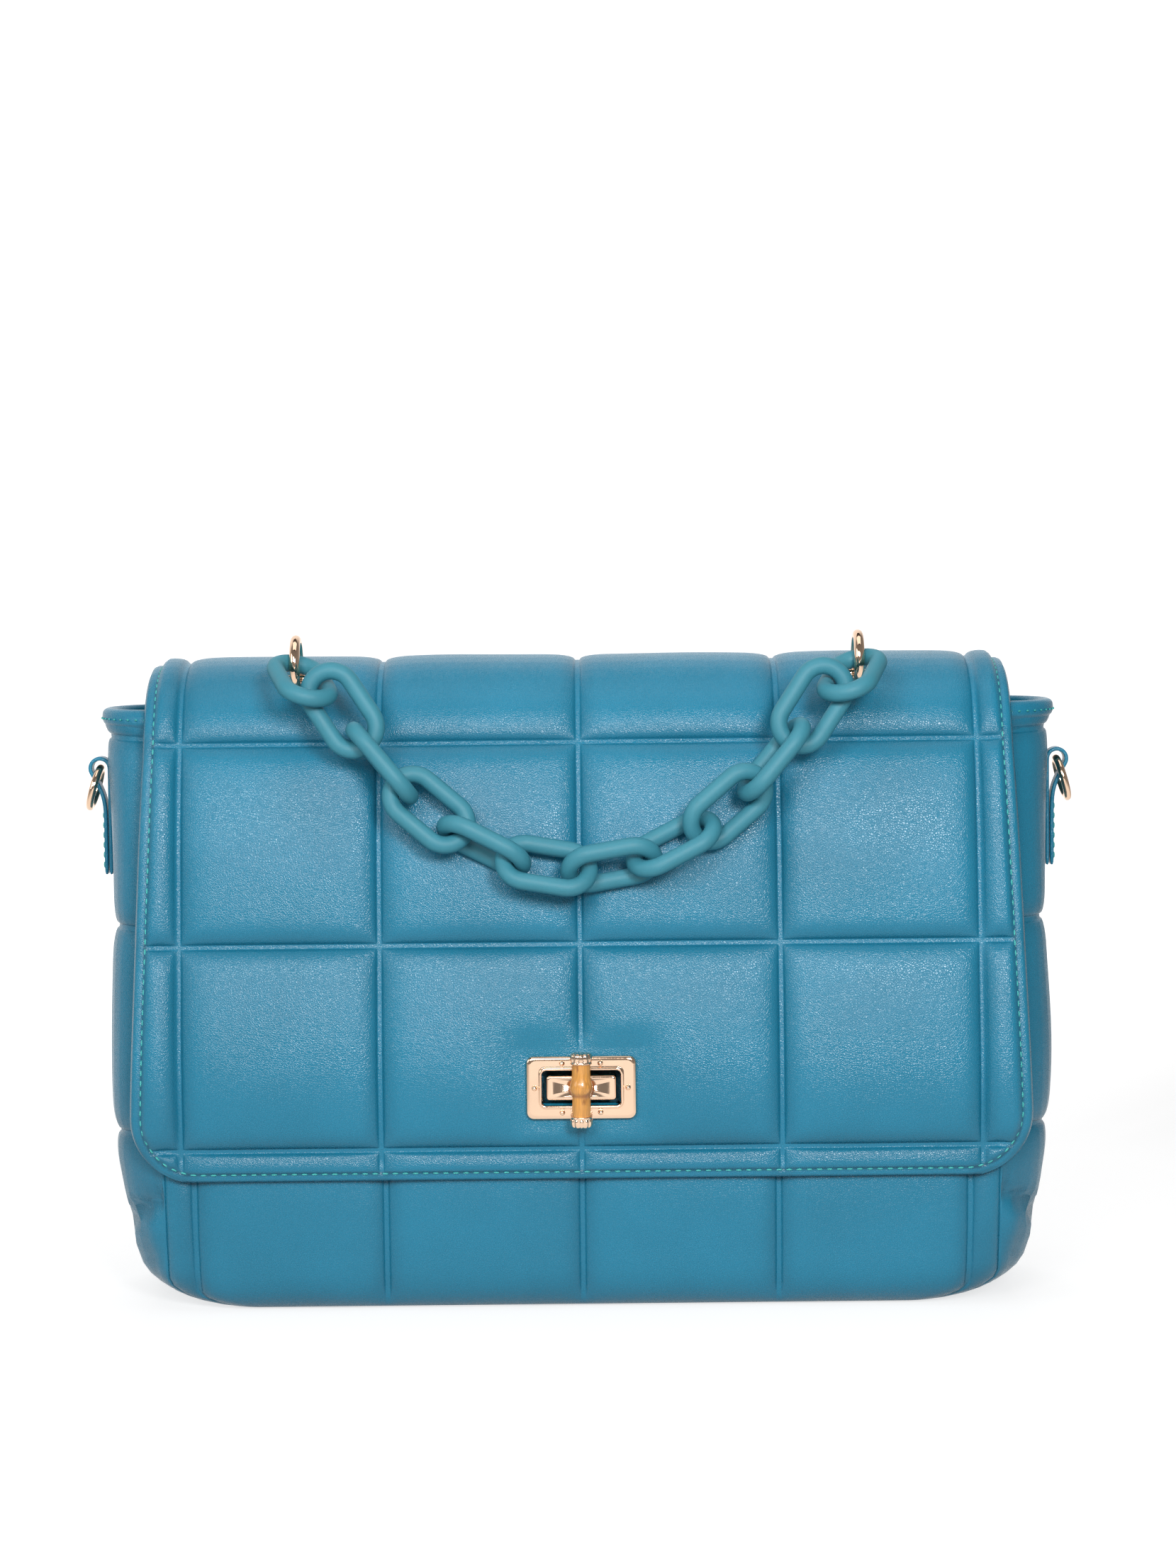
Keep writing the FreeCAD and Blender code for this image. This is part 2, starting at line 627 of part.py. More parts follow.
def bridge_form(depth):
    """An arch of round wire on two feet with shanks, standing on the plane z = 0."""
    radius = BRIDGE_WIRE / 2.0
    straight = BRIDGE_HALF - BRIDGE_BEND
    top = BRIDGE_BAR_UP
    form = Part.makeCylinder(radius, 2 * straight, vec(-straight, 0, top), vec(1, 0, 0))
    for side in (-1, 1):
        centre = vec(side * straight, 0, top - BRIDGE_BEND)
        ring = Part.makeTorus(BRIDGE_BEND, radius, centre, vec(0, 1, 0))
        low_x, high_x = sorted((side * straight, side * (BRIDGE_HALF + radius + 1.0)))
        bend = ring.common(slab(low_x, high_x, -5.0, 5.0, top - BRIDGE_BEND, top + 5.0))
        leg = Part.makeCylinder(radius, top - BRIDGE_BEND, vec(side * BRIDGE_HALF, 0, 0))
        foot = Part.makeCylinder(BRIDGE_FOOT_RADIUS, BRIDGE_FOOT_THICKNESS, vec(side * BRIDGE_HALF, 0, 0))
        shank = Part.makeCylinder(BRIDGE_SHANK_RADIUS, depth + 0.1, vec(side * BRIDGE_HALF, 0, -depth))
        form = form.fuse([bend, leg, foot, shank])
    return form.removeSplitter()


def make_bridges(curve):
    foot, normal = bridge_frame(curve)
    under = FLAP_PADDING + FLAP_LAYER_GAP + FLAP_LINING + SEWN_GAP
    depth = under + BRIDGE_WASHER_THICKNESS
    tilt = FreeCAD.Rotation(vec(0, 0, 1), normal)
    pieces = {}
    washers = []
    for side, name in ((-1, "bridge_left"), (1, "bridge_right")):
        bridge = bridge_form(depth)
        bridge.Placement = FreeCAD.Placement(foot + vec(side * RING_X, 0, 0), tilt)
        pieces[name] = bridge
    for side, x in bridge_places():
        start = foot + vec(x, 0, 0) - normal * under
        washer = Part.makeCylinder(BRIDGE_WASHER_RADIUS, BRIDGE_WASHER_THICKNESS, start, normal * -1)
        washers.append(washer.cut(Part.makeCylinder(BRIDGE_SHANK_RADIUS, 5.0, start + normal, normal * -1)))
    pieces["bridge_washers"] = Part.makeCompound(washers)
    return pieces


def link_form():
    """One moulded link: a round wire bent to a long ring, long in X and flat in Z."""
    bend = (LINK_WIDTH - LINK_WIRE) / 2.0
    half = (LINK_LENGTH - LINK_WIDTH) / 2.0
    radius = LINK_WIRE / 2.0
    pieces = []
    for side in (-1, 1):
        end = Part.makeTorus(bend, radius, vec(0, 0, 0), vec(0, 0, 1), -180, 180, 180)
        end.rotate(vec(0, 0, 0), vec(0, 0, 1), -90 * side)
        end.translate(vec(side * half, 0, 0))
        pieces.append(end)
        pieces.append(Part.makeCylinder(radius, 2 * half, vec(-half, side * bend, 0), vec(1, 0, 0)))
    return pieces[0].fuse(pieces[1:]).removeSplitter()


def link_pitch():
    return LINK_LENGTH - 2 * LINK_WIRE - LINK_PLAY


def end_link_run():
    """Direction and side direction of the link on the left ring, lying over the flap's shoulder."""
    plan = math.radians(END_LINK_PLAN)
    slope = math.radians(END_LINK_SLOPE)
    along = vec(math.sin(plan) * math.cos(slope), -math.cos(plan) * math.cos(slope), -math.sin(slope))
    side = vec(math.cos(plan), math.sin(plan), 0)
    return along, side


def left_joints(centre):
    """Points where the left half's links meet, from the ring to the middle of the handle."""
    along, side = end_link_run()
    rest = math.radians(END_LINK_REST)
    hook = math.radians(END_LINK_HOOK)
    back = (LINK_WIRE + LINK_PLAY) / 2.0
    bend = (LINK_WIDTH - LINK_WIRE) / 2.0
    ring_inside = RING_OUTER / 2.0 - RING_WIRE - LINK_PLAY / 2.0
    start = vec(-RING_X, centre.y, centre.z) + vec(0, -math.cos(rest), -math.sin(rest)) * ring_inside
    far_bend = start + along * ((link_pitch() + LINK_LENGTH - LINK_WIDTH) / 2.0)
    held = far_bend + (along * math.cos(hook) + side * math.sin(hook)) * bend
    directions = hanging_directions(-held.x, back)
    joints = [start, held - directions[0] * back]
    for direction in directions:
        joints.append(joints[-1] + direction * link_pitch())
    return joints


def hanging_directions(run, back):
    """Directions of the free links of one half: a hanging chain that covers the given run."""
    count = LINKS_PER_SIDE - 1
    low, high = 0.0, 5.0
    for step in range(60):
        weight = (low + high) / 2.0
        directions = hanging_set(weight, count)
        if sum(d.x for d in directions) * link_pitch() - directions[0].x * back > run:
            low = weight
        else:
            high = weight
    return directions


def hanging_set(weight, count):
    directions = []
    for index in range(count, 0, -1):
        fall = weight * (index - 0.5)
        directions.append(vec(1, -HANDLE_LEAN * fall, -fall).normalize())
    return directions


def mirrored(point):
    return vec(-point.x, point.y, point.z)


def handle_links(curve):
    """Centre, long direction, facing and roll of each link, from the left ring to the right one."""
    joints = left_joints(ring_centre(curve))
    along, side = end_link_run()
    reach = link_pitch() / 2.0
    places = [(joints[0] + along * reach, along, vec(0, 0, 1))]
    for near, far in zip(joints[1:-1], joints[2:]):
        places.append(((near + far) * 0.5, (far - near).normalize(), vec(0, -1, 0)))
    right = [(mirrored(centre), mirrored(direction) * -1, face) for centre, direction, face in reversed(places)]
    return [place + (roll,) for place, roll in zip(places + right, LINK_ROLLS)]


def place_link(form, centre, direction, face, roll):
    """Lay a link along a direction. A roll of 0 turns its flat side towards face."""
    facing = (face - direction * face.dot(direction)).normalize()
    across = facing.cross(direction)
    matrix = FreeCAD.Matrix(
        direction.x, across.x, facing.x, 0, direction.y, across.y, facing.y, 0,
        direction.z, across.z, facing.z, 0, 0, 0, 0, 1)
    turn = FreeCAD.Rotation(matrix).multiply(FreeCAD.Rotation(vec(1, 0, 0), roll))
    link = form.copy()
    link.Placement = FreeCAD.Placement(centre, turn)
    return link


def make_handle(curve):
    centre = ring_centre(curve)
    pieces = {}
    for side, name in ((-1, "ring_left"), (1, "ring_right")):
        middle = vec(side * RING_X, centre.y, centre.z)
        pieces[name] = wire_ring(RING_OUTER, RING_WIRE, middle, vec(1, 0, 0))
    form = link_form()
    for number, place in enumerate(handle_links(curve), 1):
        pieces["chain_link_%02d" % number] = place_link(form, *place)
    return pieces


# Strap rings and tabs

def tab_loop(outer):
    """Depth of the tab's inner face, and where the strap ring's wire lies in its loop."""
    low = TAB_TOP_HEIGHT - TAB_LENGTH
    sewn_top = min(TAB_TOP_HEIGHT, RIM_HEIGHT)
    steps = 8
    heights = [low + (sewn_top - low) * step / steps for step in range(steps + 1)]
    face = max(side_of(outer, height) for height in heights) + SEWN_GAP / 2.0
    loop_half = STRAP_RING_WIRE / 2.0 + TAB_LOOP_PLAY
    x = face + TAB_LAYER + loop_half
    z = TAB_TOP_HEIGHT - TAB_LAYER - loop_half
    return face, x, z, loop_half


def make_tab(outer):
    """The right tab: one strip folded over the ring's wire, with both ends sewn flat."""
    face, x, z, loop_half = tab_loop(outer)
    low = TAB_TOP_HEIGHT - TAB_LENGTH
    outer_half = loop_half + TAB_LAYER
    half = TAB_WIDTH / 2.0
    strip = slab(face, face + 2 * TAB_LAYER, -half, half, low, z)
    loop = Part.makeCylinder(outer_half, TAB_WIDTH, vec(x, -half, z), vec(0, 1, 0))
    corners = [vec(face + TAB_LAYER, -half, z - TAB_NECK_DROP), vec(x + outer_half * 0.5, -half, z - outer_half * 0.86),
               vec(face + TAB_LAYER, -half, z)]
    wedge = Part.Face(Part.makePolygon(corners + corners[:1])).extrude(vec(0, TAB_WIDTH, 0))
    eye = Part.makeCylinder(loop_half, TAB_WIDTH + 2, vec(x, -half - 1, z), vec(0, 1, 0))
    return strip.fuse([loop, wedge]).cut(eye).removeSplitter()


def make_strap_ring(outer):
    """The right strap ring, hanging from the loop and leaning on the tab's outer layer."""
    face, x, z, loop_half = tab_loop(outer)
    radius = (STRAP_RING_OUTER - STRAP_RING_WIRE) / 2.0
    ring = wire_ring(STRAP_RING_OUTER, STRAP_RING_WIRE, vec(x, 0, z - radius), vec(1, 0, 0))
    ring.rotate(vec(x, 0, z), vec(0, 1, 0), -STRAP_RING_LEAN)
    return ring


def make_sides(outer):
    pieces = {}
    for name, shape in (("tab", make_tab(outer)), ("strap_ring", make_strap_ring(outer))):
        pieces[name + "_right"] = shape
        pieces[name + "_left"] = shape.mirror(vec(0, 0, 0), vec(1, 0, 0))
    return pieces


def build():
    outer = body_form(0.0)
    curve = flap_curve()
    front = min(depths_behind_plate(curve, 0.0)) - PLATE_GAP
    frame_front = front - PLATE_THICKNESS - SLOT_RIM_HEIGHT
    walls = make_walls(outer)
    lock_pieces, head_front = make_lock_base(outer, walls, frame_front)
    pieces = {}
    for group in (walls, make_inside(), make_hem(outer, curve), lock_pieces, make_knob(frame_front, head_front),
                  make_flap(curve, front), make_frame(curve, front), make_bridges(curve), make_handle(curve),
                  make_sides(outer)):
        pieces.update(group)
    return pieces


os.makedirs("parts", exist_ok=True)
for node_name, node_shape in build().items():
    save(node_shape, node_name)
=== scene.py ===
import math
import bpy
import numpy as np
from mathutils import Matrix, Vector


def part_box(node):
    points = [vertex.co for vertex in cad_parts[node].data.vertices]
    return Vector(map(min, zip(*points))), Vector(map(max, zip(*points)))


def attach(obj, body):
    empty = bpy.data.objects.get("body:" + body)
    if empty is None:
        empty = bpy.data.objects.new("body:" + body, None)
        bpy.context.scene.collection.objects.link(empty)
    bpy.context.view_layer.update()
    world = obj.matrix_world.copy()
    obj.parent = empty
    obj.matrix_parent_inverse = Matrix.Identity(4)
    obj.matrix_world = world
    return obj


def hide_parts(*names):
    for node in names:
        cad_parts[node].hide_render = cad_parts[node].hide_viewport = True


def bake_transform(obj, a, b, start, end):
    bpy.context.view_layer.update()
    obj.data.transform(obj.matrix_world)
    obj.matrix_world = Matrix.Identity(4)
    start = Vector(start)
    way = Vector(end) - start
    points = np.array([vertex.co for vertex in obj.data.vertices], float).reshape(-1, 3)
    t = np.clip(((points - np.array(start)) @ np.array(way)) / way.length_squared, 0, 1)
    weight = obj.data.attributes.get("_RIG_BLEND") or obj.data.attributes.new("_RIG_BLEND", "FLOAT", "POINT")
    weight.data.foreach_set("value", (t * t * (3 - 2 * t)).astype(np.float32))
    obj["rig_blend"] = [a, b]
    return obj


bl_info = {
    "name": "Quilted chain bag",
    "version": (1, 0, 0),
    "blender": (4, 5, 0),
    "location": "View3D > Sidebar > Bag",
    "description": "Dresses a flap bag with a chain handle and a turn lock in quilted leather, "
                   "thread and metal",
    "category": "Object",
}

import bmesh
import bpy
import numpy as np
from bpy.props import FloatProperty, FloatVectorProperty, PointerProperty
from mathutils import Quaternion, Vector, noise

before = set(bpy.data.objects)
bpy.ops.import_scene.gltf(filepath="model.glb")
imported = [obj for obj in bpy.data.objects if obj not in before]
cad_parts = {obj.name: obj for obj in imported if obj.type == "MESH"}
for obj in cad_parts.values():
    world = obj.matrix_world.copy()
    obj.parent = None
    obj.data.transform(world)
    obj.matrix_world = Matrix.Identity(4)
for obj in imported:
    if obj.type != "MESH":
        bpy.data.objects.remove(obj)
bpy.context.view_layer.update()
MM = 0.001

# Forms that the solids also have, in millimetres

RIM_TOP = 215.0
# Height, length and depth of the body at some levels
BODY_ROWS = (
    (18.0, 320.0, 105.0),
    (45.0, 334.0, 108.0),
    (100.0, 341.0, 103.0),
    (185.0, 342.0, 76.0),
    (RIM_TOP, 350.0, 56.0),
)
ROLL_HEIGHT = 18.0
ROLL_IN = (34.0, 10.0)
CORNER = 25.0
BASE_CORNER = 15.0
SEAM_HALF = 150.0
SEAM_GAP = 6.0
# Depth and height along the middle of the flap, from its front edge to its sewn edge
FLAP_LINE = (
    (-59.2, 48.0), (-61.5, 82.0), (-56.0, 131.0), (-43.0, 200.0),
    (-30.0, 222.0), (0.0, 232.0), (30.5, 220.5), (39.5, 206.0),
)
FLAP_LOW_HALF = 161.0
FLAP_TOP_HALF = 155.5
# The heights between which the flap's front narrows, and the length of that front
FLAP_TAPER = (48.0, 200.0)
FLAP_FRONT = 190.0
FLAP_CORNER = 24.0
LOCK_UP = 82.0
PLATE = (39.0, 22.5)
SLOT = (28.0, 12.6)
BLOCK = (25.0, 9.0)
LOCK_HOLE = (14.6, 6.9)
LINK_NODES = ["chain_link_%02d" % number for number in range(1, 13)]

# Quilting, in millimetres: channels along the flap and up the body, and the rise of a cell beside a channel

FLAP_LINES = (11.5, 85.0, 158.5, 232.0)
BODY_LINES = (64.0, 138.0, 206.0)
UPRIGHT_LINES = (-2, -1, 0, 1, 2)
OUTER_CHANNEL = 139.0
HALF_CHANNEL = 1.0
SHOULDER = 9.0
CROWN = 34.0
BODY_CHANNEL_DEPTH = 0.3
SEAM_PUFF = 0.62
CHANNEL_STEPS = (0.0, 0.5, 0.8, 1.05, 1.4, 2.0, 3.0, 4.5, 6.5, 9.0, 12.0, 16.0, 20.5, 25.5, 31.0, 36.0)
EDGE_STEPS = (0.0, 0.7, 1.6, 2.6, 3.2, 3.7, 4.6, 6.0, 8.0, 10.5)

# Padding of the flap: reaches and depths in millimetres, and shares of the puff

CREST_REACH = (2.0, 22.0)
CREST_SOFTENING = 0.45
OUTER_SHOULDER = 7.0
LOW_SHOULDER = 5.0
EDGE_SHOULDER = 7.0
FLAP_CROWN = 36.0
OUTER_PUFF = 1.15
LOW_PUFF = 0.75
EDGE_DROP = 0.8
PAD_DROP = 1.1
FLAP_CHANNEL_DEPTH = 0.4
PLATE_REACH = (0.5, 13.0)
PLATE_DROP = 0.55
STITCH_INSET = 0.3

# Padding of the gussets: the dent beside a seam, and the pinch with the puff below it at a lower corner; both
# also get painted shade

GUSSET_HALF = 48.0
GUSSET_PUFF = 0.85
CREASE_AT = 8.0
CREASE_WIDTH = 2.6
CREASE_DEPTH = 0.7
FOLD_TOP = 42.0
FOLD_SLOPE = 0.55
FOLD_WIDTH = 3.2
PUFF_BELOW = 11.0
PUFF_WIDTH = 8.0

# Stage, in metres, with angles in degrees, and how white the floor looks close by and on the camera's side

FLOOR_STEPS = 72
FLOOR_RADIUS = 1.7
WALL_BEND = 0.9
WALL_TOP = 4.0
PAPER_NEAR = 0.74
PAPER_FRONT = 0.15
PAPER_STRIP = 0.4
WHITE_TOWARDS = (-0.34, 0.94)
WORLD_LIGHT = 0.08
# Name, place, aim, size and power in watts of each lamp
LAMPS = (
    ("front", (-0.40, -1.50, 0.80), (0.0, 0.0, 0.12), (0.8, 0.5), 12.5),
    ("sheen", (0.34, -1.45, 0.64), (0.1, 0.0, 0.15), (0.35, 0.3), 14.0),
    ("top", (0.0, -0.2, 1.6), (0.0, 0.0, 0.1), (1.6, 1.0), 7.0),
    ("left", (-1.6, -0.8, 0.8), (0.0, 0.0, 0.12), (0.8, 0.8), 6.0),
    ("back", (0.0, 1.4, 1.35), (0.0, 0.0, 0.12), (1.0, 0.6), 14.0),
)
CAMERA_PLACE = (0.0035, -1.310, 0.275)
CAMERA_DOWN = 3.9
CAMERA_ROLL = -0.6
SENSOR = 36.0
FOCAL_PIXELS = 5000.0
FRAME_PIXELS = 2212.0


# Settings

class BagFlapSettings(bpy.types.PropertyGroup):
    """Sizes of the quilted flap"""
    puff: FloatProperty(
        name="Puff", description="Height of a quilted cell over its channels, in mm", default=4.2, min=0.0)
    line_gap: FloatProperty(
        name="Line gap", description="Distance between upright channels, in mm", default=71.5, min=10.0)
    channel: FloatProperty(
        name="Channel", description="Width of a pressed channel, in mm", default=2.0, min=0.2)
    flange: FloatProperty(
        name="Flange", description="Flat edge outside the topstitch, in mm", default=3.4, min=0.5)
    thickness: FloatProperty(
        name="Thickness", description="Thickness of the flap, in mm", default=4.4, min=1.0)


class BagBodySettings(bpy.types.PropertyGroup):
    """Sizes of the quilted body"""
    puff: FloatProperty(
        name="Puff", description="Height of a quilted cell over its channels, in mm", default=2.6, min=0.0)
    line_gap: FloatProperty(
        name="Line gap", description="Distance between upright channels, in mm", default=70.4, min=10.0)
    wall: FloatProperty(
        name="Wall", description="Thickness of a padded panel, in mm", default=2.8, min=0.5)
    pinch: FloatProperty(
        name="Pinch", description="Depth of the folds at the lower corners, in mm", default=3.6, min=0.0)


class BagThreadSettings(bpy.types.PropertyGroup):
    """Sizes of the stitches"""
    pitch: FloatProperty(
        name="Pitch", description="Length of a stitch and its gap, in mm", default=3.6, min=1.0)
    length: FloatProperty(
        name="Length", description="Length of a stitch, in mm", default=2.3, min=0.5)
    width: FloatProperty(
        name="Width", description="Thickness of the thread, in mm", default=0.74, min=0.1)


class BagFinishSettings(bpy.types.PropertyGroup):
    """Colours of the finishes"""
    leather: FloatVectorProperty(
        name="Leather", description="Colour of the padded leather",
        subtype="COLOR", size=3, default=(0.013, 0.192, 0.312))
    # Colour of the pores, also mixed in as painted shade in channels, creases and folds
    leather_pore_and_shade: FloatVectorProperty(
        name="Leather in pores and painted shade", description="Colour of the pores, and painted shade in channels and folds",
        subtype="COLOR", size=3, default=(0.006, 0.085, 0.145))
    inside: FloatVectorProperty(
        name="Inside", description="Colour of the cloth inside",
        subtype="COLOR", size=3, default=(0.020, 0.105, 0.160))
    chain: FloatVectorProperty(
        name="Chain", description="Colour of the moulded links",
        subtype="COLOR", size=3, default=(0.042, 0.225, 0.295))
    thread: FloatVectorProperty(
        name="Thread", description="Colour of the thread",
        subtype="COLOR", size=3, default=(0.060, 0.460, 0.430))
    gold: FloatVectorProperty(
        name="Metal", description="Colour of the plated metal",
        subtype="COLOR", size=3, default=(0.880, 0.620, 0.440))
    bamboo: FloatVectorProperty(
        name="Bamboo", description="Colour of the bamboo",
        subtype="COLOR", size=3, default=(0.700, 0.315, 0.062))


# Small helpers for numbers

def ease(low, high, value):
    """Goes smoothly from 0 at the low value to 1 at the high one."""
    share = np.clip((np.asarray(value, float) - low) / (high - low), 0.0, 1.0)
    return share * share * (3.0 - 2.0 * share)


def dome(distance, reach):
    """Rises fast from 0 at a seam and flattens towards the middle of a padded cell."""
    share = np.clip(np.asarray(distance, float) / reach, 0.0, 1.0)
    return np.sqrt(1.0 - (1.0 - share) ** 2)


def cell_rise(distance, shoulder=SHOULDER, crown=CROWN):
    """Height of a padded cell from 0 to 1: a steep shoulder by the channel and a gentle crown."""
    return 0.6 * dome(distance, shoulder) + 0.4 * dome(distance, crown)


def bell(distance, reach):
    """1 at a line and close to 0 beyond its reach."""
    return np.exp(-(distance / reach) ** 2)


def run_lengths(line):
    """Length along a line of points up to each of them."""
    gaps = np.linalg.norm(np.diff(np.asarray(line, float), axis=0), axis=1)
    return np.concatenate([[0.0], np.cumsum(gaps)])


def natural_spline(knots, values):
    """A smooth line through values at the knots, as a function of any position."""
    knots = np.asarray(knots, float)
    values = np.asarray(values, float)
    count = len(knots)
    steps = np.diff(knots)
    system = np.eye(count)
    right = np.zeros(values.shape)
    for i in range(1, count - 1):
        system[i, i - 1:i + 2] = (steps[i - 1], 2.0 * (steps[i - 1] + steps[i]), steps[i])
        right[i] = 6.0 * ((values[i + 1] - values[i]) / steps[i] - (values[i] - values[i - 1]) / steps[i - 1])
    bends = np.linalg.solve(system, right)

    def at(position):
        position = np.asarray(position, float)
        i = np.clip(np.searchsorted(knots, position) - 1, 0, count - 2)
        step = steps[i]
        a = (knots[i + 1] - position) / step
        b = (position - knots[i]) / step
        if values.ndim > 1:
            a, b, step = a[..., None], b[..., None], step[..., None]
        bend = ((a ** 3 - a) * bends[i] + (b ** 3 - b) * bends[i + 1]) * step ** 2 / 6.0
        return a * values[i] + b * values[i + 1] + bend

    return at


def spread(lines, low, high, offsets, edge_offsets):
    """Places for grid lines: close together near the channels and the edges, and wide apart between them."""
    marks = [(line, offsets) for line in lines] + [(low, edge_offsets), (high, edge_offsets)]
    found = []
    for mark, steps in marks:
        for step in steps:
            for place in (mark - step, mark + step):
                if not low <= place <= high:
                    continue
                if all(abs(place - other) >= step - 1e-6 for other, _ in marks):
                    found.append(place)
    found = sorted(found)
    kept = [found[0]]
    for place in found[1:]:
        if place - kept[-1] > 0.2:
            kept.append(place)
    return np.array(kept)


def nearest(values, lines):
    """Distance from each value to the nearest line."""
    return np.minimum.reduce([np.abs(values - line) for line in lines])


def upright_lines(settings):
    """Places of the upright channels."""
    return [settings.line_gap * k for k in UPRIGHT_LINES]


def channel_shade(channel, near, start=0.0):
    """Painted shade for a place in a channel or on the shoulder beside it."""
    return 0.05 * channel + 0.26 * (1.0 - channel) * (1.0 - ease(start, 8.0, near))


def grid_normals(points):
    """Unit normals of a grid of points."""
    down = np.gradient(points, axis=0)
    across = np.gradient(points, axis=1)
    normal = np.cross(across, down)
    return normal / np.maximum(np.linalg.norm(normal, axis=2, keepdims=True), 1e-9)


def drift(points, size, seed):
    """Slow unevenness of hand-filled padding, from -1 to 1."""
    flat = points.reshape(-1, 3)
    values = [noise.noise(Vector((p[0] / size + seed, p[1] / size, p[2] / size))) for p in flat]
    return np.array(values).reshape(points.shape[:2])


# Meshes

def new_piece(name, points, faces, materials):
    """A mesh from points in millimetres, with its faces turned outwards."""
    mesh = bpy.data.meshes.new(name)
    mesh.from_pydata([tuple(float(v) * MM for v in p) for p in points], [], faces)
    for material in materials:
        mesh.materials.append(bpy.data.materials[material])
    built = bmesh.new()
    built.from_mesh(mesh)
    bmesh.ops.recalc_face_normals(built, faces=built.faces)
    for face in built.faces:
        face.smooth = True
    built.to_mesh(mesh)
    built.free()
    piece = bpy.data.objects.new(name, mesh)
    bpy.context.scene.collection.objects.link(piece)
    return piece


def add_attribute(piece, name, values):
    field = piece.data.attributes.new(name, "FLOAT", "POINT")
    field.data.foreach_set("value", np.asarray(values, np.float32))


def rim_pairs(rows, columns):
    """Grid places round the edge of a grid, with the place just inside each."""
    ring = [(0, c, 1, c) for c in range(columns - 1)]
    ring += [(r, columns - 1, r, columns - 2) for r in range(rows - 1)]
    ring += [(rows - 1, c, rows - 2, c) for c in range(columns - 1, 0, -1)]
    ring += [(r, 0, r, 1) for r in range(rows - 1, 0, -1)]
    return ring


def padded_sheet(name, outer, inner, crease_and_shade, materials, bulge=0.6, hole=None):
    """A closed padded sheet between two grids, with round edges and one square opening if it has one."""
    rows, columns = outer.shape[:2]
    count = rows * columns
    points = [tuple(p) for p in outer.reshape(-1, 3)] + [tuple(p) for p in inner.reshape(-1, 3)]
    # Painted shade per point: full on the outer side, half on the inner side and none on the round edges
    marks = list(crease_and_shade.reshape(-1)) + list(crease_and_shade.reshape(-1) * 0.5)
    faces, kinds = [], []

    def spot(r, c):
        return r * columns + c

    def inside_hole(r, c):
        return hole is not None and hole[0] <= r < hole[1] and hole[2] <= c < hole[3]

    for r in range(rows - 1):
        for c in range(columns - 1):
            if inside_hole(r, c):
                continue
            face = (spot(r, c), spot(r, c + 1), spot(r + 1, c + 1), spot(r + 1, c))
            faces.append(face)
            kinds.append(0)
            faces.append(tuple(v + count for v in reversed(face)))
            kinds.append(len(materials) - 1)
    rings = [[(spot(r, c), spot(a, b)) for r, c, a, b in rim_pairs(rows, columns)]]
    if hole is not None:
        r0, r1, c0, c1 = hole
        cut = [(r0, c, r0 - 1, c) for c in range(c0, c1)]
        cut += [(r, c1, r, c1 + 1) for r in range(r0, r1)]
        cut += [(r1, c, r1 + 1, c) for c in range(c1, c0, -1)]
        cut += [(r, c0, r, c0 - 1) for r in range(r1, r0, -1)]
        rings.append([(spot(r, c), spot(a, b)) for r, c, a, b in cut])
    for ring in rings:
        first = len(points)
        for edge, beside in ring:
            top, under = np.array(points[edge]), np.array(points[edge + count])
            away = top - np.array(points[beside])
            away /= max(np.linalg.norm(away), 1e-9)
            points.append(tuple((top + under) / 2.0 + away * bulge))
            marks.append(0.0)
        size = len(ring)
        for i in range(size):
            j = (i + 1) % size
            a, b = ring[i][0], ring[j][0]
            faces.append((a, b, first + j, first + i))
            faces.append((first + i, first + j, b + count, a + count))
            kinds += [0, 0]
    piece = new_piece(name, points, faces, materials)
    piece.data.polygons.foreach_set("material_index", kinds)
    add_attribute(piece, "crease_and_shade", marks)
    return piece


def swept_band(name, loops, materials, crease_and_shade=None):
    """A closed band: each loop is the band's cross-section at one place on a closed path."""
    count = len(loops)
    size = len(loops[0])
    points = [tuple(p) for loop in loops for p in loop]
    faces = []
    for i in range(count):
        j = (i + 1) % count
        for a in range(size):
            b = (a + 1) % size
            faces.append((i * size + a, i * size + b, j * size + b, j * size + a))
    piece = new_piece(name, points, faces, materials)
    # The band's painted shade per point, none if it is not given
    add_attribute(piece, "crease_and_shade", np.zeros(len(points)) if crease_and_shade is None else crease_and_shade)
    return piece


def ring_faces(rows, steps, first=0):
    """Faces between closed rings of points that follow each other."""
    faces = []
    for row in range(rows - 1):
        low = first + row * steps
        for step in range(steps):
            after = (step + 1) % steps
            faces.append((low + step, low + after, low + steps + after, low + steps + step))
    return faces


def disc_face(row, steps, first=0):
    """One face that closes a ring."""
    return tuple(first + row * steps + step for step in range(steps))


def settled(piece):
    """Makes the result of a piece's modifiers its plain mesh."""
    shown = bpy.context.evaluated_depsgraph_get()
    mesh = bpy.data.meshes.new_from_object(piece.evaluated_get(shown))
    piece.modifiers.clear()
    piece.data = mesh
    return piece


def subdivided(piece, levels=1):
    """Rounds a piece by subdivision."""
    modifier = piece.modifiers.new("Round", "SUBSURF")
    modifier.levels = levels
    modifier.render_levels = levels
    return settled(piece)


# Body form

BODY_AT = natural_spline([row[0] for row in BODY_ROWS], [row[1:] for row in BODY_ROWS])


def level(height):
    """Half length, half depth and corner radius of the body at a height."""
    if height >= ROLL_HEIGHT:
        length, depth = BODY_AT(height)
        return length / 2.0, depth / 2.0, CORNER
    share = max(height, 0.0) / ROLL_HEIGHT
    inset = 1.0 - math.sqrt(1.0 - (1.0 - share) ** 2)
    row = BODY_ROWS[0]
    corner = CORNER + (BASE_CORNER - CORNER) * inset
    return row[1] / 2.0 - ROLL_IN[0] * inset, row[2] / 2.0 - ROLL_IN[1] * inset, corner


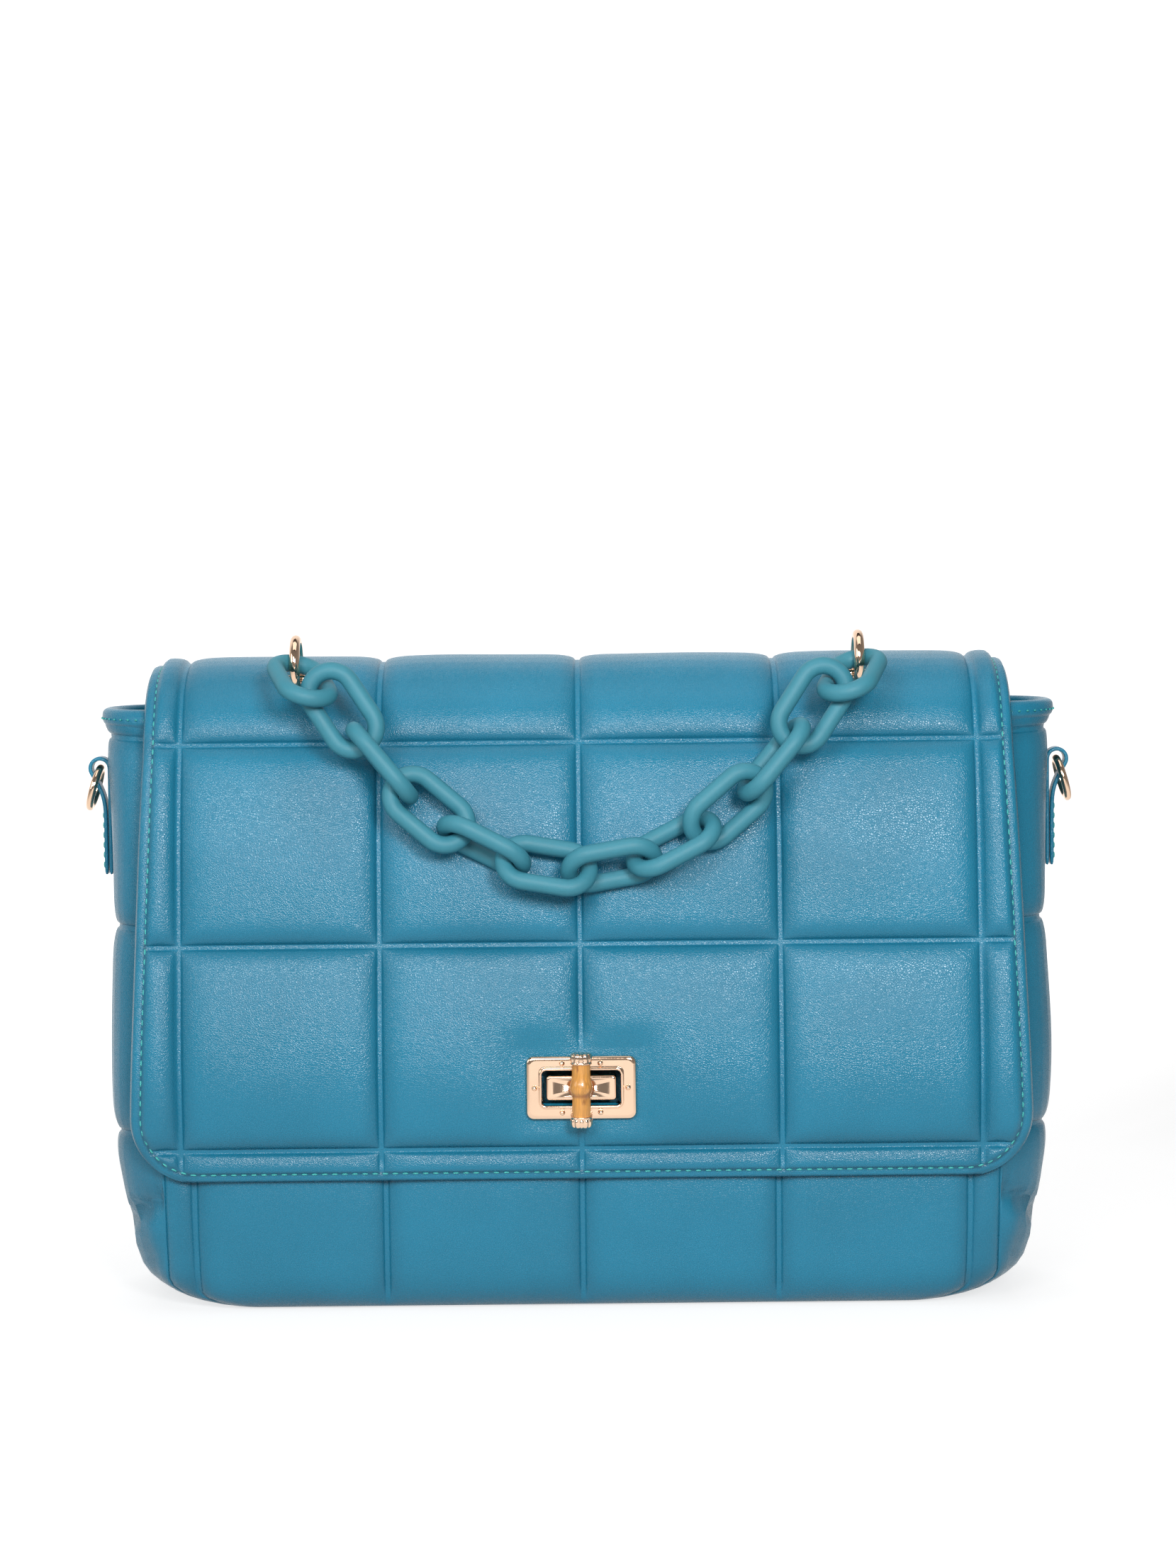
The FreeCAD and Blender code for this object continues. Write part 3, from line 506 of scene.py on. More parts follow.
def seam_turn(height):
    """How far round the corner the seam between front panel and gusset lies, as an angle."""
    half_l, _, corner = level(height)
    gap = max(SEAM_GAP, half_l - SEAM_HALF)
    return math.asin(max(0.0, min(0.95, (corner - gap) / corner)))


def front_run(height):
    """Half width of the front panel at a height, measured along the panel."""
    half_l, _, corner = level(height)
    return half_l - corner + corner * seam_turn(height)


def front_point(distance, height, inset=0.0):
    """A point of the front panel, by its distance from the middle along the panel."""
    half_l, half_d, corner = level(height)
    side = -1.0 if distance < 0 else 1.0
    straight = half_l - corner
    run = abs(distance)
    if run <= straight:
        return np.array((side * run, -half_d + inset, height))
    turn = (run - straight) / corner
    radius = corner - inset
    x = side * (straight + radius * math.sin(turn))
    y = -(half_d - corner) - radius * math.cos(turn)
    return np.array((x, y, height))


def gusset_point(share, height, inset=0.0):
    """A point of the right gusset. The share goes from -1 at the front seam to 1 at the back one."""
    half_l, half_d, corner = level(height)
    start = seam_turn(height)
    bend = corner * (math.pi / 2.0 - start)
    straight = half_d - corner
    run = abs(share) * (bend + straight)
    side = -1.0 if share < 0 else 1.0
    if run <= straight:
        return np.array((half_l - inset, side * run, height))
    turn = math.pi / 2.0 - (run - straight) / corner
    radius = corner - inset
    x = half_l - corner + radius * math.sin(turn)
    y = side * (straight + radius * math.cos(turn))
    return np.array((x, y, height))


def ring_point(share, height, inset=0.0):
    """A point of the whole outline of the body at a height, once round for a share from 0 to 1."""
    half_l, half_d, corner = level(height)
    half_l, half_d, corner = half_l - inset, half_d - inset, max(corner - inset, 2.0)
    runs = (half_l - corner, corner * math.pi / 2.0, half_d - corner)
    quarter = sum(runs)
    turn, rest = divmod((share % 1.0) * 4.0, 1.0)
    mirrored = int(turn) % 2 == 1
    run = (1.0 - rest if mirrored else rest) * quarter
    if run < runs[0]:
        x, y = run, half_d
    elif run < runs[0] + runs[1]:
        angle = (run - runs[0]) / corner
        x, y = half_l - corner + corner * math.sin(angle), half_d - corner + corner * math.cos(angle)
    else:
        x, y = half_l, half_d - corner - (run - runs[0] - runs[1])
    signs = ((1, -1), (1, 1), (-1, 1), (-1, -1))[int(turn)]
    return np.array((signs[0] * x, signs[1] * y, height))


def body_heights():
    """Heights of the grid's rows, close together round the bottom edge and by the channels."""
    roll = [0.0, 0.5, 1.2, 2.4, 4.0, 6.0, 8.5, 11.5, 15.0, 18.5, 22.5, 27.0, 32.0, 37.0]
    upper = spread(BODY_LINES, roll[-1], RIM_TOP - 1.0, CHANNEL_STEPS, (0.0, 3.0, 6.0))
    return np.array(roll + [place for place in upper if place > roll[-1] + 1.0])


def panel_height_field(heights, across_gap, edge_gap, puff):
    """Puff of a quilted panel from its distances to channels and seams, and its painted shade in and beside
    the channels.
    """
    up_gap = nearest(heights, BODY_LINES)
    near = np.minimum(across_gap, up_gap)
    cell = cell_rise(across_gap - HALF_CHANNEL) * cell_rise(up_gap - HALF_CHANNEL)
    cell *= SEAM_PUFF + (1.0 - SEAM_PUFF) * dome(edge_gap, 6.0)
    channel = 1.0 - ease(0.75, 1.1, near)
    return puff * (cell - 0.7) - BODY_CHANNEL_DEPTH * channel, channel_shade(channel, near)


def padded_panel(settings, name, base, normal, rise, painted_shade):
    """A padded panel of the body on a grid, with its inner side kept off the ground."""
    outer = base + normal * rise[:, :, None]
    inner = base - normal * settings.wall
    inner[:, :, 2] = np.maximum(inner[:, :, 2], 0.3)
    return padded_sheet(name, outer, inner, painted_shade, ["Padded leather"], bulge=0.3)


def make_front_or_back(settings, name, side):
    """A quilted panel, on the front for a side of 1 and on the back for -1."""
    heights = body_heights()
    run = front_run(100.0)
    lines = upright_lines(settings)
    places = spread(lines, -run, run, CHANNEL_STEPS, (0.0, 1.5, 3.0, 5.0))
    base = np.empty((len(heights), len(places), 3))
    upright = settings.line_gap + 4.0
    line_edge = lines[-1]
    for r, height in enumerate(heights):
        reach = front_run(height)
        marks = (0.0, upright, min(OUTER_CHANNEL, reach - SEAM_GAP), reach)
        moved = np.interp(np.abs(places), (0.0, upright, line_edge, run), marks)
        for c, place in enumerate(places):
            base[r, c] = front_point(math.copysign(moved[c], place), height)
    base[:, :, 1] *= side
    normal = grid_normals(base)
    if normal[len(heights) // 2, len(places) // 2, 1] * side > 0:
        normal = -normal
    across = np.broadcast_to(nearest(places, lines), base.shape[:2])
    edge = np.broadcast_to(run - np.abs(places), base.shape[:2])
    tall = np.broadcast_to(heights[:, None], base.shape[:2])
    field, painted_shade = panel_height_field(tall, across, edge, settings.puff)
    field = field + 0.35 * drift(base, 42.0, 3.1 * side) * dome(edge, 20.0)
    low = ease(0.0, 9.0, tall)
    return padded_panel(settings, name, base, normal, field * low, painted_shade * low)


def make_gusset(settings, name, side):
    """A padded side panel with a dent by its seams and a pinch at each lower corner, and painted shade in its
    channels, dents and pinches.
    """
    heights = body_heights()
    shares = np.array([-1, -0.985, -0.96, -0.92, -0.86, -0.78, -0.69, -0.6, -0.5, -0.4, -0.3, -0.2, -0.1, 0])
    shares = np.concatenate([shares, -shares[-2::-1]])
    base = np.empty((len(heights), len(shares), 3))
    for r, height in enumerate(heights):
        for c, share in enumerate(shares):
            base[r, c] = gusset_point(share, height)
    normal = grid_normals(base)
    if normal[len(heights) // 2, len(shares) // 2, 0] < 0:
        normal = -normal
    tall = np.broadcast_to(heights[:, None], base.shape[:2])
    wide = np.broadcast_to(shares[None, :], base.shape[:2])
    edge = (1.0 - np.abs(wide)) * GUSSET_HALF
    up_gap = nearest(tall, BODY_LINES)
    channel = 1.0 - ease(0.75, 1.2, up_gap)
    cell = cell_rise(up_gap - HALF_CHANNEL) * (0.7 + 0.3 * dome(edge, 14.0))
    crease_and_shade = bell(edge - CREASE_AT, CREASE_WIDTH)
    field = GUSSET_PUFF * settings.puff * (cell - 0.75)
    field = field - BODY_CHANNEL_DEPTH * channel - CREASE_DEPTH * crease_and_shade
    path = FOLD_TOP - FOLD_SLOPE * edge
    fold_line = bell(tall - path, FOLD_WIDTH)
    fold_line *= ease(0.0, 1.5, edge) * (1.0 - ease(14.0, 26.0, edge))
    puffed = bell(tall - path + PUFF_BELOW, PUFF_WIDTH)
    puffed *= ease(0.0, 4.0, edge) * (1.0 - ease(16.0, 30.0, edge))
    field = field - settings.pinch * fold_line + 0.5 * settings.pinch * puffed
    field = field + 0.6 * drift(base, 36.0, 11.0 + side) * dome(edge, 18.0)
    # Painted shade: in the channels and on their shoulders, in the pinch and in the dent beside the seams
    painted_shade = channel_shade(channel, up_gap) + 0.4 * fold_line + 0.2 * crease_and_shade
    low = ease(0.0, 12.0, tall)
    mirror = np.array((side, 1.0, 1.0))
    return padded_panel(settings, name, base * mirror, normal * mirror, field * low, painted_shade * low)


def make_base():
    """The bottom: two layers that meet at the edge."""
    shares = [1.0, 0.995, 0.98, 0.95, 0.88, 0.75, 0.55, 0.3, 0.1]
    steps = 96
    points, faces = [], []
    for lift, edge_lift in ((0.0, 0.5), (3.0, 0.0)):
        for share in shares:
            height = lift + edge_lift * float(ease(0.96, 1.0, share))
            for step in range(steps):
                place = ring_point(step / steps, 0.0)
                points.append((place[0] * share, place[1] * share, height))
    size = len(shares) * steps
    for first in (0, size):
        faces += ring_faces(len(shares), steps, first)
        faces.append(disc_face(len(shares) - 1, steps, first))
    for step in range(steps):
        after = (step + 1) % steps
        faces.append((step, after, size + after, size + step))
    piece = new_piece("base_leather", points, faces, ["Padded leather"])
    add_attribute(piece, "crease_and_shade", np.zeros(len(points)))
    return piece


def make_rim():
    """The folded edge round the mouth, with its facing inside."""
    section = (
        (-0.6, 210.2), (0.35, 210.7), (0.55, 212.2), (0.45, 214.0), (-0.2, 215.4),
        (-1.6, 216.1), (-3.4, 216.0), (-4.9, 214.9), (-5.4, 212.5), (-5.4, 199.0),
        (-5.3, 186.0), (-4.9, 185.2), (-4.0, 186.0), (-3.4, 199.0), (-2.8, 206.0),
    )
    steps = 220
    loops = []
    for step in range(steps):
        loops.append([ring_point(step / steps, height, -out) for out, height in section])
    # Painted shade on the facing inside the mouth and along the band's lower edge
    shade = [0.4 if out < -3.0 or height < 210.5 else 0.0 for out, height in section] * steps
    piece = swept_band("mouth_rim", loops, ["Padded leather"], shade)
    return subdivided(piece)


def make_lining():
    """The cloth bag inside, from the facing down to the board on the bottom."""
    steps = 160
    inset = 5.1
    heights = [192.0, 180.0, 165.0, 148.0, 130.0, 110.0, 90.0, 70.0, 50.0, 34.0, 22.0, 14.0, 9.5, 7.4, 6.8]
    points = []
    for row, height in enumerate(heights):
        for step in range(steps):
            share = step / steps
            wave = 0.25 * math.sin(share * math.pi * 26.0 + height * 0.05) * min(1.0, row / 3.0)
            points.append(tuple(ring_point(share, height, inset + wave)))
    last_ring = points[-steps:]
    floor_shares = (0.96, 0.7, 0.35)
    points += [(p[0] * share, p[1] * share, 6.7) for share in floor_shares for p in last_ring]
    rows = len(heights) + len(floor_shares)
    faces = ring_faces(rows, steps)
    faces.append(disc_face(rows - 1, steps))
    piece = new_piece("lining_cloth", points, faces, ["Lining cloth"])
    for face in piece.data.polygons:
        face.flip()
    thick = piece.modifiers.new("Cloth", "SOLIDIFY")
    thick.thickness = 0.8 * MM
    thick.offset = -1.0
    return settled(piece)


# Flap form

FLAP_KNOTS = run_lengths(FLAP_LINE)
FLAP_AT = natural_spline(FLAP_KNOTS, FLAP_LINE)


def flap_lengths():
    """Length along the flap's line for fine steps, so that a place can be found by its length."""
    line = FLAP_AT(np.linspace(FLAP_KNOTS[0], FLAP_KNOTS[-1], 1200))
    return run_lengths(line), line


FLAP_LENGTHS, FLAP_POINTS = flap_lengths()


def flap_yz(length):
    """Depth and height of the flap's line at a length from its front edge."""
    y = np.interp(length, FLAP_LENGTHS, FLAP_POINTS[:, 0])
    z = np.interp(length, FLAP_LENGTHS, FLAP_POINTS[:, 1])
    return y, z


def flap_outward(length):
    """Direction away from the bag, square to the flap's line."""
    y0, z0 = flap_yz(length - 0.8)
    y1, z1 = flap_yz(length + 0.8)
    size = math.hypot(y1 - y0, z1 - z0)
    return np.array((0.0, -(z1 - z0) / size, (y1 - y0) / size))


def full_half(length):
    """Half width of the flap at a length from its front edge, as if its corners were square."""
    share = 1.0
    if length < FLAP_FRONT:
        height = float(flap_yz(length)[1])
        share = min(1.0, max(0.0, (height - FLAP_TAPER[0]) / (FLAP_TAPER[1] - FLAP_TAPER[0])))
    return FLAP_LOW_HALF + (FLAP_TOP_HALF - FLAP_LOW_HALF) * share


def flap_half(length):
    """Half width of the flap at a length from its front edge, with its round lower corners."""
    half = full_half(length)
    if length >= FLAP_CORNER:
        return half
    return half - FLAP_CORNER + math.sqrt(FLAP_CORNER ** 2 - (FLAP_CORNER - length) ** 2)


def edge_distance(x, length):
    """Distance from a place on the flap to its free edge."""
    half = full_half(length)
    a = abs(x) - (half - FLAP_CORNER)
    b = FLAP_CORNER - length
    if a > 0.0 and b > 0.0:
        return FLAP_CORNER - math.hypot(a, b)
    return min(half - abs(x), length)


def lock_length():
    """Length along the front of the flap at which the lock sits."""
    front = FLAP_POINTS[:600, 1]
    return float(FLAP_LENGTHS[int(np.argmin(np.abs(front - LOCK_UP)))])


def flap_puff(settings, x, length, lock_at):
    """Height of the padded surface over the flap's line at one place, and the painted shade it gets."""
    upright = min(abs(x - line) for line in upright_lines(settings))
    level_gap = min(abs(length - line) for line in FLAP_LINES)
    near = min(upright, level_gap)
    edge = edge_distance(x, length)
    inside = edge - settings.flange
    half_channel = settings.channel / 2.0
    outer_strip = abs(x) > 2.0 * settings.line_gap
    low_strip = length < FLAP_LINES[0]
    over = 1.0 - CREST_SOFTENING * float(ease(*CREST_REACH, length - FLAP_LINES[2]))
    cell = float(cell_rise(upright - half_channel, OUTER_SHOULDER if outer_strip else SHOULDER))
    cell *= float(cell_rise(level_gap - half_channel, LOW_SHOULDER if low_strip else SHOULDER, FLAP_CROWN))
    cell = (1.0 - over * (1.0 - cell)) * float(dome(inside, EDGE_SHOULDER))
    channel = 1.0 - float(ease(half_channel - 0.25, half_channel + 0.1, near))
    channel *= float(ease(-0.4, 0.4, inside))
    tall = settings.puff * (OUTER_PUFF if outer_strip else LOW_PUFF if low_strip else 1.0)
    field = tall * cell - EDGE_DROP - PAD_DROP * float(ease(0.0, 5.0, inside))
    field -= FLAP_CHANNEL_DEPTH * over * channel
    flat = max(abs(x) - PLATE[0] / 2.0, abs(length - lock_at) - PLATE[1] / 2.0)
    pressed = 1.0 - float(ease(*PLATE_REACH, flat))
    field = field * (1.0 - pressed) - PLATE_DROP * pressed
    field -= 0.25 * bell(inside + STITCH_INSET, 0.7) + 0.5 * (1.0 - float(ease(0.0, 1.4, edge)))
    # Painted shade in the channels and on their shoulders, none where the plate presses, and a dark line of
    # painted shade in the stitch groove
    painted_shade = float(channel_shade(channel, near, half_channel)) * (1.0 - pressed)
    painted_shade += 0.9 * bell(inside + STITCH_INSET, 0.5)
    return field, min(1.0, painted_shade)


def with_cuts(places, cuts):
    """Grid places with the cuts of an opening in place of those that lie close to them."""
    clear = [place for place in places if all(abs(place - cut) > 0.8 for cut in cuts)]
    return sorted(clear + list(cuts))


def make_flap(settings):
    """The quilted flap with its flat sewn edge and the opening for the lock."""
    lock_at = lock_length()
    lines = upright_lines(settings)
    line_edge = 2.0 * settings.line_gap
    inner_places = spread(lines, -line_edge, line_edge, CHANNEL_STEPS, (0.0,))
    inner_places = with_cuts(inner_places, (-LOCK_HOLE[0], LOCK_HOLE[0]))
    strip = np.array((0.06, 0.11, 0.2, 0.32, 0.45, 0.58, 0.68, 0.76, 0.81, 0.85, 0.9, 0.95, 1.0))
    first, last = 0.8, float(FLAP_LENGTHS[-1]) - 0.2
    cuts = (lock_at - LOCK_HOLE[1], lock_at + LOCK_HOLE[1])
    rows = np.array(with_cuts(spread(FLAP_LINES, first, last, CHANNEL_STEPS, EDGE_STEPS), cuts))
    columns = len(inner_places) + 2 * len(strip)
    outer, inner = np.empty((2, len(rows), columns, 3))
    painted_shade = np.empty((len(rows), columns))
    for r, length in enumerate(rows):
        y, z = flap_yz(length)
        away = flap_outward(length)
        right = [line_edge + (flap_half(length) - line_edge) * s for s in strip]
        left = [-x for x in reversed(right)]
        for c, x in enumerate(left + inner_places + right):
            field, painted_shade[r, c] = flap_puff(settings, x, length, lock_at)
            wave = 0.3 * noise.noise(Vector((x / 33.0, length / 29.0, 4.2)))
            wave *= min(1.0, max(0.0, edge_distance(x, length) / 12.0))
            base = np.array((x, float(y), float(z)))
            outer[r, c] = base + away * (field + wave)
            inner[r, c] = base - away * settings.thickness
    hole_columns = [c for c in range(columns) if abs(abs(outer[0, c, 0]) - LOCK_HOLE[0]) < 1e-3]
    hole_rows = [int(np.argmin(np.abs(rows - cut))) for cut in cuts]
    hole = (hole_rows[0], hole_rows[1], hole_columns[0], hole_columns[1])
    finishes = ["Padded leather", "Smooth leather"]
    return padded_sheet("flap_quilt", outer, inner, painted_shade, finishes, bulge=0.9, hole=hole)


def make_hem():
    """The strip by which the flap is sewn to the back panel."""
    end_y, end_z = (float(v) for v in flap_yz(FLAP_LENGTHS[-1]))
    steps = ((0.3, 0.2), (2.0, 5.5), (2.9, 12.0), (3.6, 20.0), (4.3, 27.0), (4.4, 29.8))
    outer_line = [(end_y + out, end_z - drop) for out, drop in steps]
    knots = run_lengths(outer_line)
    line = natural_spline(knots, outer_line)
    rows = np.array((0.0, 0.6, 1.5, 3.0, 5.0, 8.0, 12.0, 16.0, 20.0, 24.0, 26.5, 28.0, 29.0, knots[-1]))
    ends = np.array((151.5, 153.5, 154.9, FLAP_TOP_HALF))
    places = np.concatenate([-ends[::-1], np.linspace(-148.0, 148.0, 60), ends])
    outer, inner = np.empty((2, len(rows), len(places), 3))
    for r, row in enumerate(rows):
        y, z = line(np.array(row))
        for c, x in enumerate(places):
            edge = min(FLAP_TOP_HALF - abs(x), knots[-1] - row)
            lift = 0.5 * float(dome(edge - 2.6, 6.0)) - 0.25 * bell(edge - 2.8, 0.7)
            outer[r, c] = (x, y + lift, z)
            inner[r, c] = (x, y - 2.8, z - 0.4)
    painted_shade = np.zeros(outer.shape[:2])
    return padded_sheet("hem_strip", outer, inner, painted_shade, ["Padded leather"], bulge=0.5)


# Tabs

def make_tab(name, side):
    """One strip folded round the strap ring's wire and sewn flat on the gusset."""
    centre = (176.8, 193.6)
    radius = 3.6
    path = [(centre[0] - radius, z) for z in (154.4, 160.0, 168.0, 176.0, 184.0, 190.0)]
    for angle in (180, 160, 140, 120, 100, 80, 60, 40, 20, 0, -18, -34):
        turn = math.radians(angle)
        path.append((centre[0] + radius * math.cos(turn), centre[1] + radius * math.sin(turn)))
    path += [(178.4, 189.2), (177.0, 186.4), (175.8, 183.4), (175.1, 180.0)]
    path += [(174.9, z) for z in (175.0, 168.0, 160.0, 154.4)]
    line = np.array(path)
    along = np.gradient(line, axis=0)
    along /= np.linalg.norm(along, axis=1, keepdims=True)
    away = np.stack([-along[:, 1], along[:, 0]], axis=1)
    places = np.array((-3.5, -3.2, -2.6, -2.0, -1.0, 0.0, 1.0, 2.0, 2.6, 3.2, 3.5))
    outer, inner = np.empty((2, len(line), len(places), 3))
    for r in range(len(line)):
        for c, y in enumerate(places):
            crown = 0.12 * float(dome(3.5 - abs(y), 1.2))
            for grid, shift in ((outer, 0.62 + crown), (inner, -0.62 - crown)):
                x, z = line[r] + away[r] * shift
                grid[r, c] = (side * x, y, z)
    piece = padded_sheet(name, outer, inner, np.zeros(outer.shape[:2]), ["Padded leather"], bulge=0.3)
    return subdivided(piece)


# Geometry Nodes trees

class Tree:
    """A node tree that is filled node by node, with links by socket name."""

    def __init__(self, tree):
        self.tree = tree

    def socket(self, name, kind, side="INPUT", value=None):
        made = self.tree.interface.new_socket(name=name, in_out=side, socket_type=kind)
        if value is not None:
            made.default_value = value
        return made

    def node(self, kind, **inputs):
        return self.fill(self.tree.nodes.new(kind), inputs)

    def fill(self, node, inputs):
        for name, value in inputs.items():
            self.feed(node, name.replace("_", " "), value)
        return node

    def feed(self, node, name, value):
        target = node.inputs[name]
        if isinstance(value, bpy.types.NodeSocket):
            self.tree.links.new(value, target)
        else:
            target.default_value = value

    def math(self, operation, *values, kind="ShaderNodeMath"):
        made = self.tree.nodes.new(kind)
        made.operation = operation
        for place, value in enumerate(values):
            self.feed(made, place, value)
        return made.outputs[0]


def new_group(name, kind="GeometryNodeTree"):
    """An empty node group that can be filled."""
    return Tree(bpy.data.node_groups.new(name, kind))


def oriented_copies(tree, given, form):
    """Copies of a form on the given points, turned to the points' own directions and made one mesh."""
    readings = []
    for name in ("flat", "along"):
        reading = tree.node("GeometryNodeInputNamedAttribute", Name=name)
        reading.data_type = "FLOAT_VECTOR"
        readings.append(reading.outputs["Attribute"])
    turn = tree.node("FunctionNodeAxesToRotation", Primary_Axis=readings[0], Secondary_Axis=readings[1])
    turn.primary_axis = "Z"
    turn.secondary_axis = "X"
    copies = tree.node("GeometryNodeInstanceOnPoints", Points=given.outputs["Points"], Instance=form,
                       Rotation=turn.outputs["Rotation"])
    real = tree.node("GeometryNodeRealizeInstances", Geometry=copies.outputs["Instances"])
    smooth = tree.node("GeometryNodeSetShadeSmooth", Geometry=real.outputs["Geometry"])
    finish = tree.node("GeometryNodeSetMaterial", Geometry=smooth.outputs["Geometry"],
                       Material=given.outputs["Finish"])
    tree.node("NodeGroupOutput", Geometry=finish.outputs["Geometry"])


def points_tree(name, sizes):
    """A tree that takes points, a finish and named sizes in metres."""
    tree = new_group(name)
    tree.socket("Points", "NodeSocketGeometry")
    tree.socket("Finish", "NodeSocketMaterial")
    for size in sizes:
        tree.socket(size, "NodeSocketFloat", value=0.001)
    tree.socket("Geometry", "NodeSocketGeometry", "OUTPUT")
    return tree, tree.node("NodeGroupInput")


def link_tree():
    """Long round links, each a wire bent to a ring with straight sides."""
    tree, given = points_tree("Links on points", ("Length", "Width", "Wire"))
    long_side = tree.math("SUBTRACT", given.outputs["Length"], given.outputs["Wire"])
    short_side = tree.math("SUBTRACT", given.outputs["Width"], given.outputs["Wire"])
    half = tree.math("MULTIPLY", short_side, 0.4999)
    wire = tree.math("MULTIPLY", given.outputs["Wire"], 0.5)
    frame = tree.node("GeometryNodeCurvePrimitiveQuadrilateral", Width=long_side, Height=short_side)
    bent = tree.tree.nodes.new("GeometryNodeFilletCurve")
    bent.mode = "POLY"
    tree.feed(bent, "Curve", frame.outputs["Curve"])
    tree.feed(bent, "Radius", half)
    tree.feed(bent, "Count", 14)
    spaced = tree.node("GeometryNodeResampleCurve", Curve=bent.outputs["Curve"], Count=84)
    round_wire = tree.node("GeometryNodeCurvePrimitiveCircle", Resolution=22, Radius=wire)
    form = tree.node("GeometryNodeCurveToMesh", Curve=spaced.outputs["Curve"],
                     Profile_Curve=round_wire.outputs["Curve"])
    oriented_copies(tree, given, form.outputs["Mesh"])
    return tree.tree


def stitch_tree():
    """Short rounded stitches, a little sunk in the leather."""
    tree, given = points_tree("Stitches on points", ("Length", "Width"))
    bead = tree.node("GeometryNodeMeshUVSphere", Segments=8, Rings=6, Radius=0.5)
    width = given.outputs["Width"]
    size = tree.node("ShaderNodeCombineXYZ", X=given.outputs["Length"], Y=width, Z=width)
    form = tree.node("GeometryNodeTransform", Geometry=bead.outputs["Mesh"], Scale=size.outputs["Vector"])
    oriented_copies(tree, given, form.outputs["Geometry"])
    return tree.tree


def copies_on_points(name, tree, places, finish, sizes):
    """Runs a tree on points with directions and keeps the result as a plain mesh."""
    mesh = bpy.data.meshes.new(name)
    mesh.from_pydata([tuple(float(v) * MM for v in place[0]) for place in places], [], [])
    for index, field in ((1, "along"), (2, "flat")):
        layer = mesh.attributes.new(field, "FLOAT_VECTOR", "POINT")
        layer.data.foreach_set("vector", np.array([place[index] for place in places], np.float32).reshape(-1))
    piece = bpy.data.objects.new(name, mesh)
    bpy.context.scene.collection.objects.link(piece)
    modifier = piece.modifiers.new("Copies", "NODES")
    modifier.node_group = tree
    sockets = {item.name: item.identifier for item in tree.interface.items_tree if item.in_out == "INPUT"}
    modifier[sockets["Finish"]] = bpy.data.materials[finish]
    for size, value in sizes.items():
        modifier[sockets[size]] = value * MM
    made = settled(piece).data
    for field in [layer.name for layer in made.attributes if layer.name in ("along", "flat")]:
        made.attributes.remove(made.attributes[field])
    return piece


# Stitches

def stitches_along(line, outward, pitch):
    """Places of stitches along a line of points, with the outward direction at each point."""
    line = np.asarray(line, float)
    outward = np.asarray(outward, float)
    run = run_lengths(line)
    count = max(1, int(round(run[-1] / pitch)))

    def at(place, values):
        return np.array([np.interp(place, run, values[:, k]) for k in range(3)])

    places = []
    for i in range(count):
        middle = (i + 0.5) * run[-1] / count
        along = at(middle + 0.6, line) - at(middle - 0.6, line)
        away = at(middle, outward)
        places.append((at(middle, line), along / np.linalg.norm(along), away / np.linalg.norm(away)))
    return places


def flap_stitch_line(settings):
    """The topstitch round the flap's free edge, with the outward direction at each point."""
    inset = settings.flange - STITCH_INSET
    last = float(FLAP_LENGTHS[-1]) - 2.0
    radius = FLAP_CORNER - inset
    side = [(flap_half(length) - inset, length) for length in np.linspace(last, FLAP_CORNER, 120)]
    corner_half = flap_half(FLAP_CORNER) - FLAP_CORNER
    for step in range(1, 24):
        angle = math.pi / 2.0 * step / 24
        side.append((corner_half + radius * math.cos(angle), FLAP_CORNER - radius * math.sin(angle)))
    front = [(x, inset) for x in np.linspace(corner_half, -corner_half, 120)]
    path = side + front + [(-x, length) for x, length in reversed(side)]
    line, outward = [], []
    lock_at = lock_length()
    for x, length in path:
        y, z = flap_yz(length)
        away = flap_outward(length)
        field = flap_puff(settings, x, length, lock_at)[0]
        line.append(np.array((x, float(y), float(z))) + away * (field + 0.16))
        outward.append(away)
    return line, outward


def body_stitch_lines():
    """Topstitch lines that stay with the body: round the mouth, on the hem and on the tabs."""
    lines = []
    for inset, height in ((-0.62, 212.4), (5.5, 211.5)):
        ring = [ring_point(step / 360.0, height, inset) for step in range(361)]
        middle = [ring_point(step / 360.0, height, inset + 4.0) for step in range(361)]
        away = [(a - b) * (1.0 if inset < 0 else -1.0) for a, b in zip(ring, middle)]
        lines.append((ring, away))
    end_y, end_z = (float(v) for v in flap_yz(FLAP_LENGTHS[-1]))
    for drop, out in ((27.0, 4.35), (4.5, 1.95)):
        row = [(x, end_y + out + 0.15, end_z - drop) for x in np.linspace(-152.7, 152.7, 60)]
        lines.append((row, [(0.0, 1.0, 0.1)] * len(row)))
    for side in (-1.0, 1.0):
        for y in (-2.5, 2.5):
            row = [(side * 175.7, y, z) for z in np.linspace(156.0, 178.0, 12)]
            lines.append((row, [(side, 0.0, 0.0)] * len(row)))
    return lines


# Chain

def link_places():
    """Centre and directions of each link, read from the link's solid."""
    places = []
    for node in LINK_NODES:
        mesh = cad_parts[node].data
        points = np.empty(len(mesh.vertices) * 3)
        mesh.vertices.foreach_get("co", points)
        points = points.reshape(-1, 3) / MM
        middle = points.mean(axis=0)
        axes = np.linalg.eigh(np.cov((points - middle).T))[1]
        local = (points - middle) @ axes
        centre = middle + axes @ ((local.max(axis=0) + local.min(axis=0)) / 2.0)
        places.append((centre, axes[:, 2], axes[:, 0], local.max(axis=0) - local.min(axis=0)))
    return places


# Lock

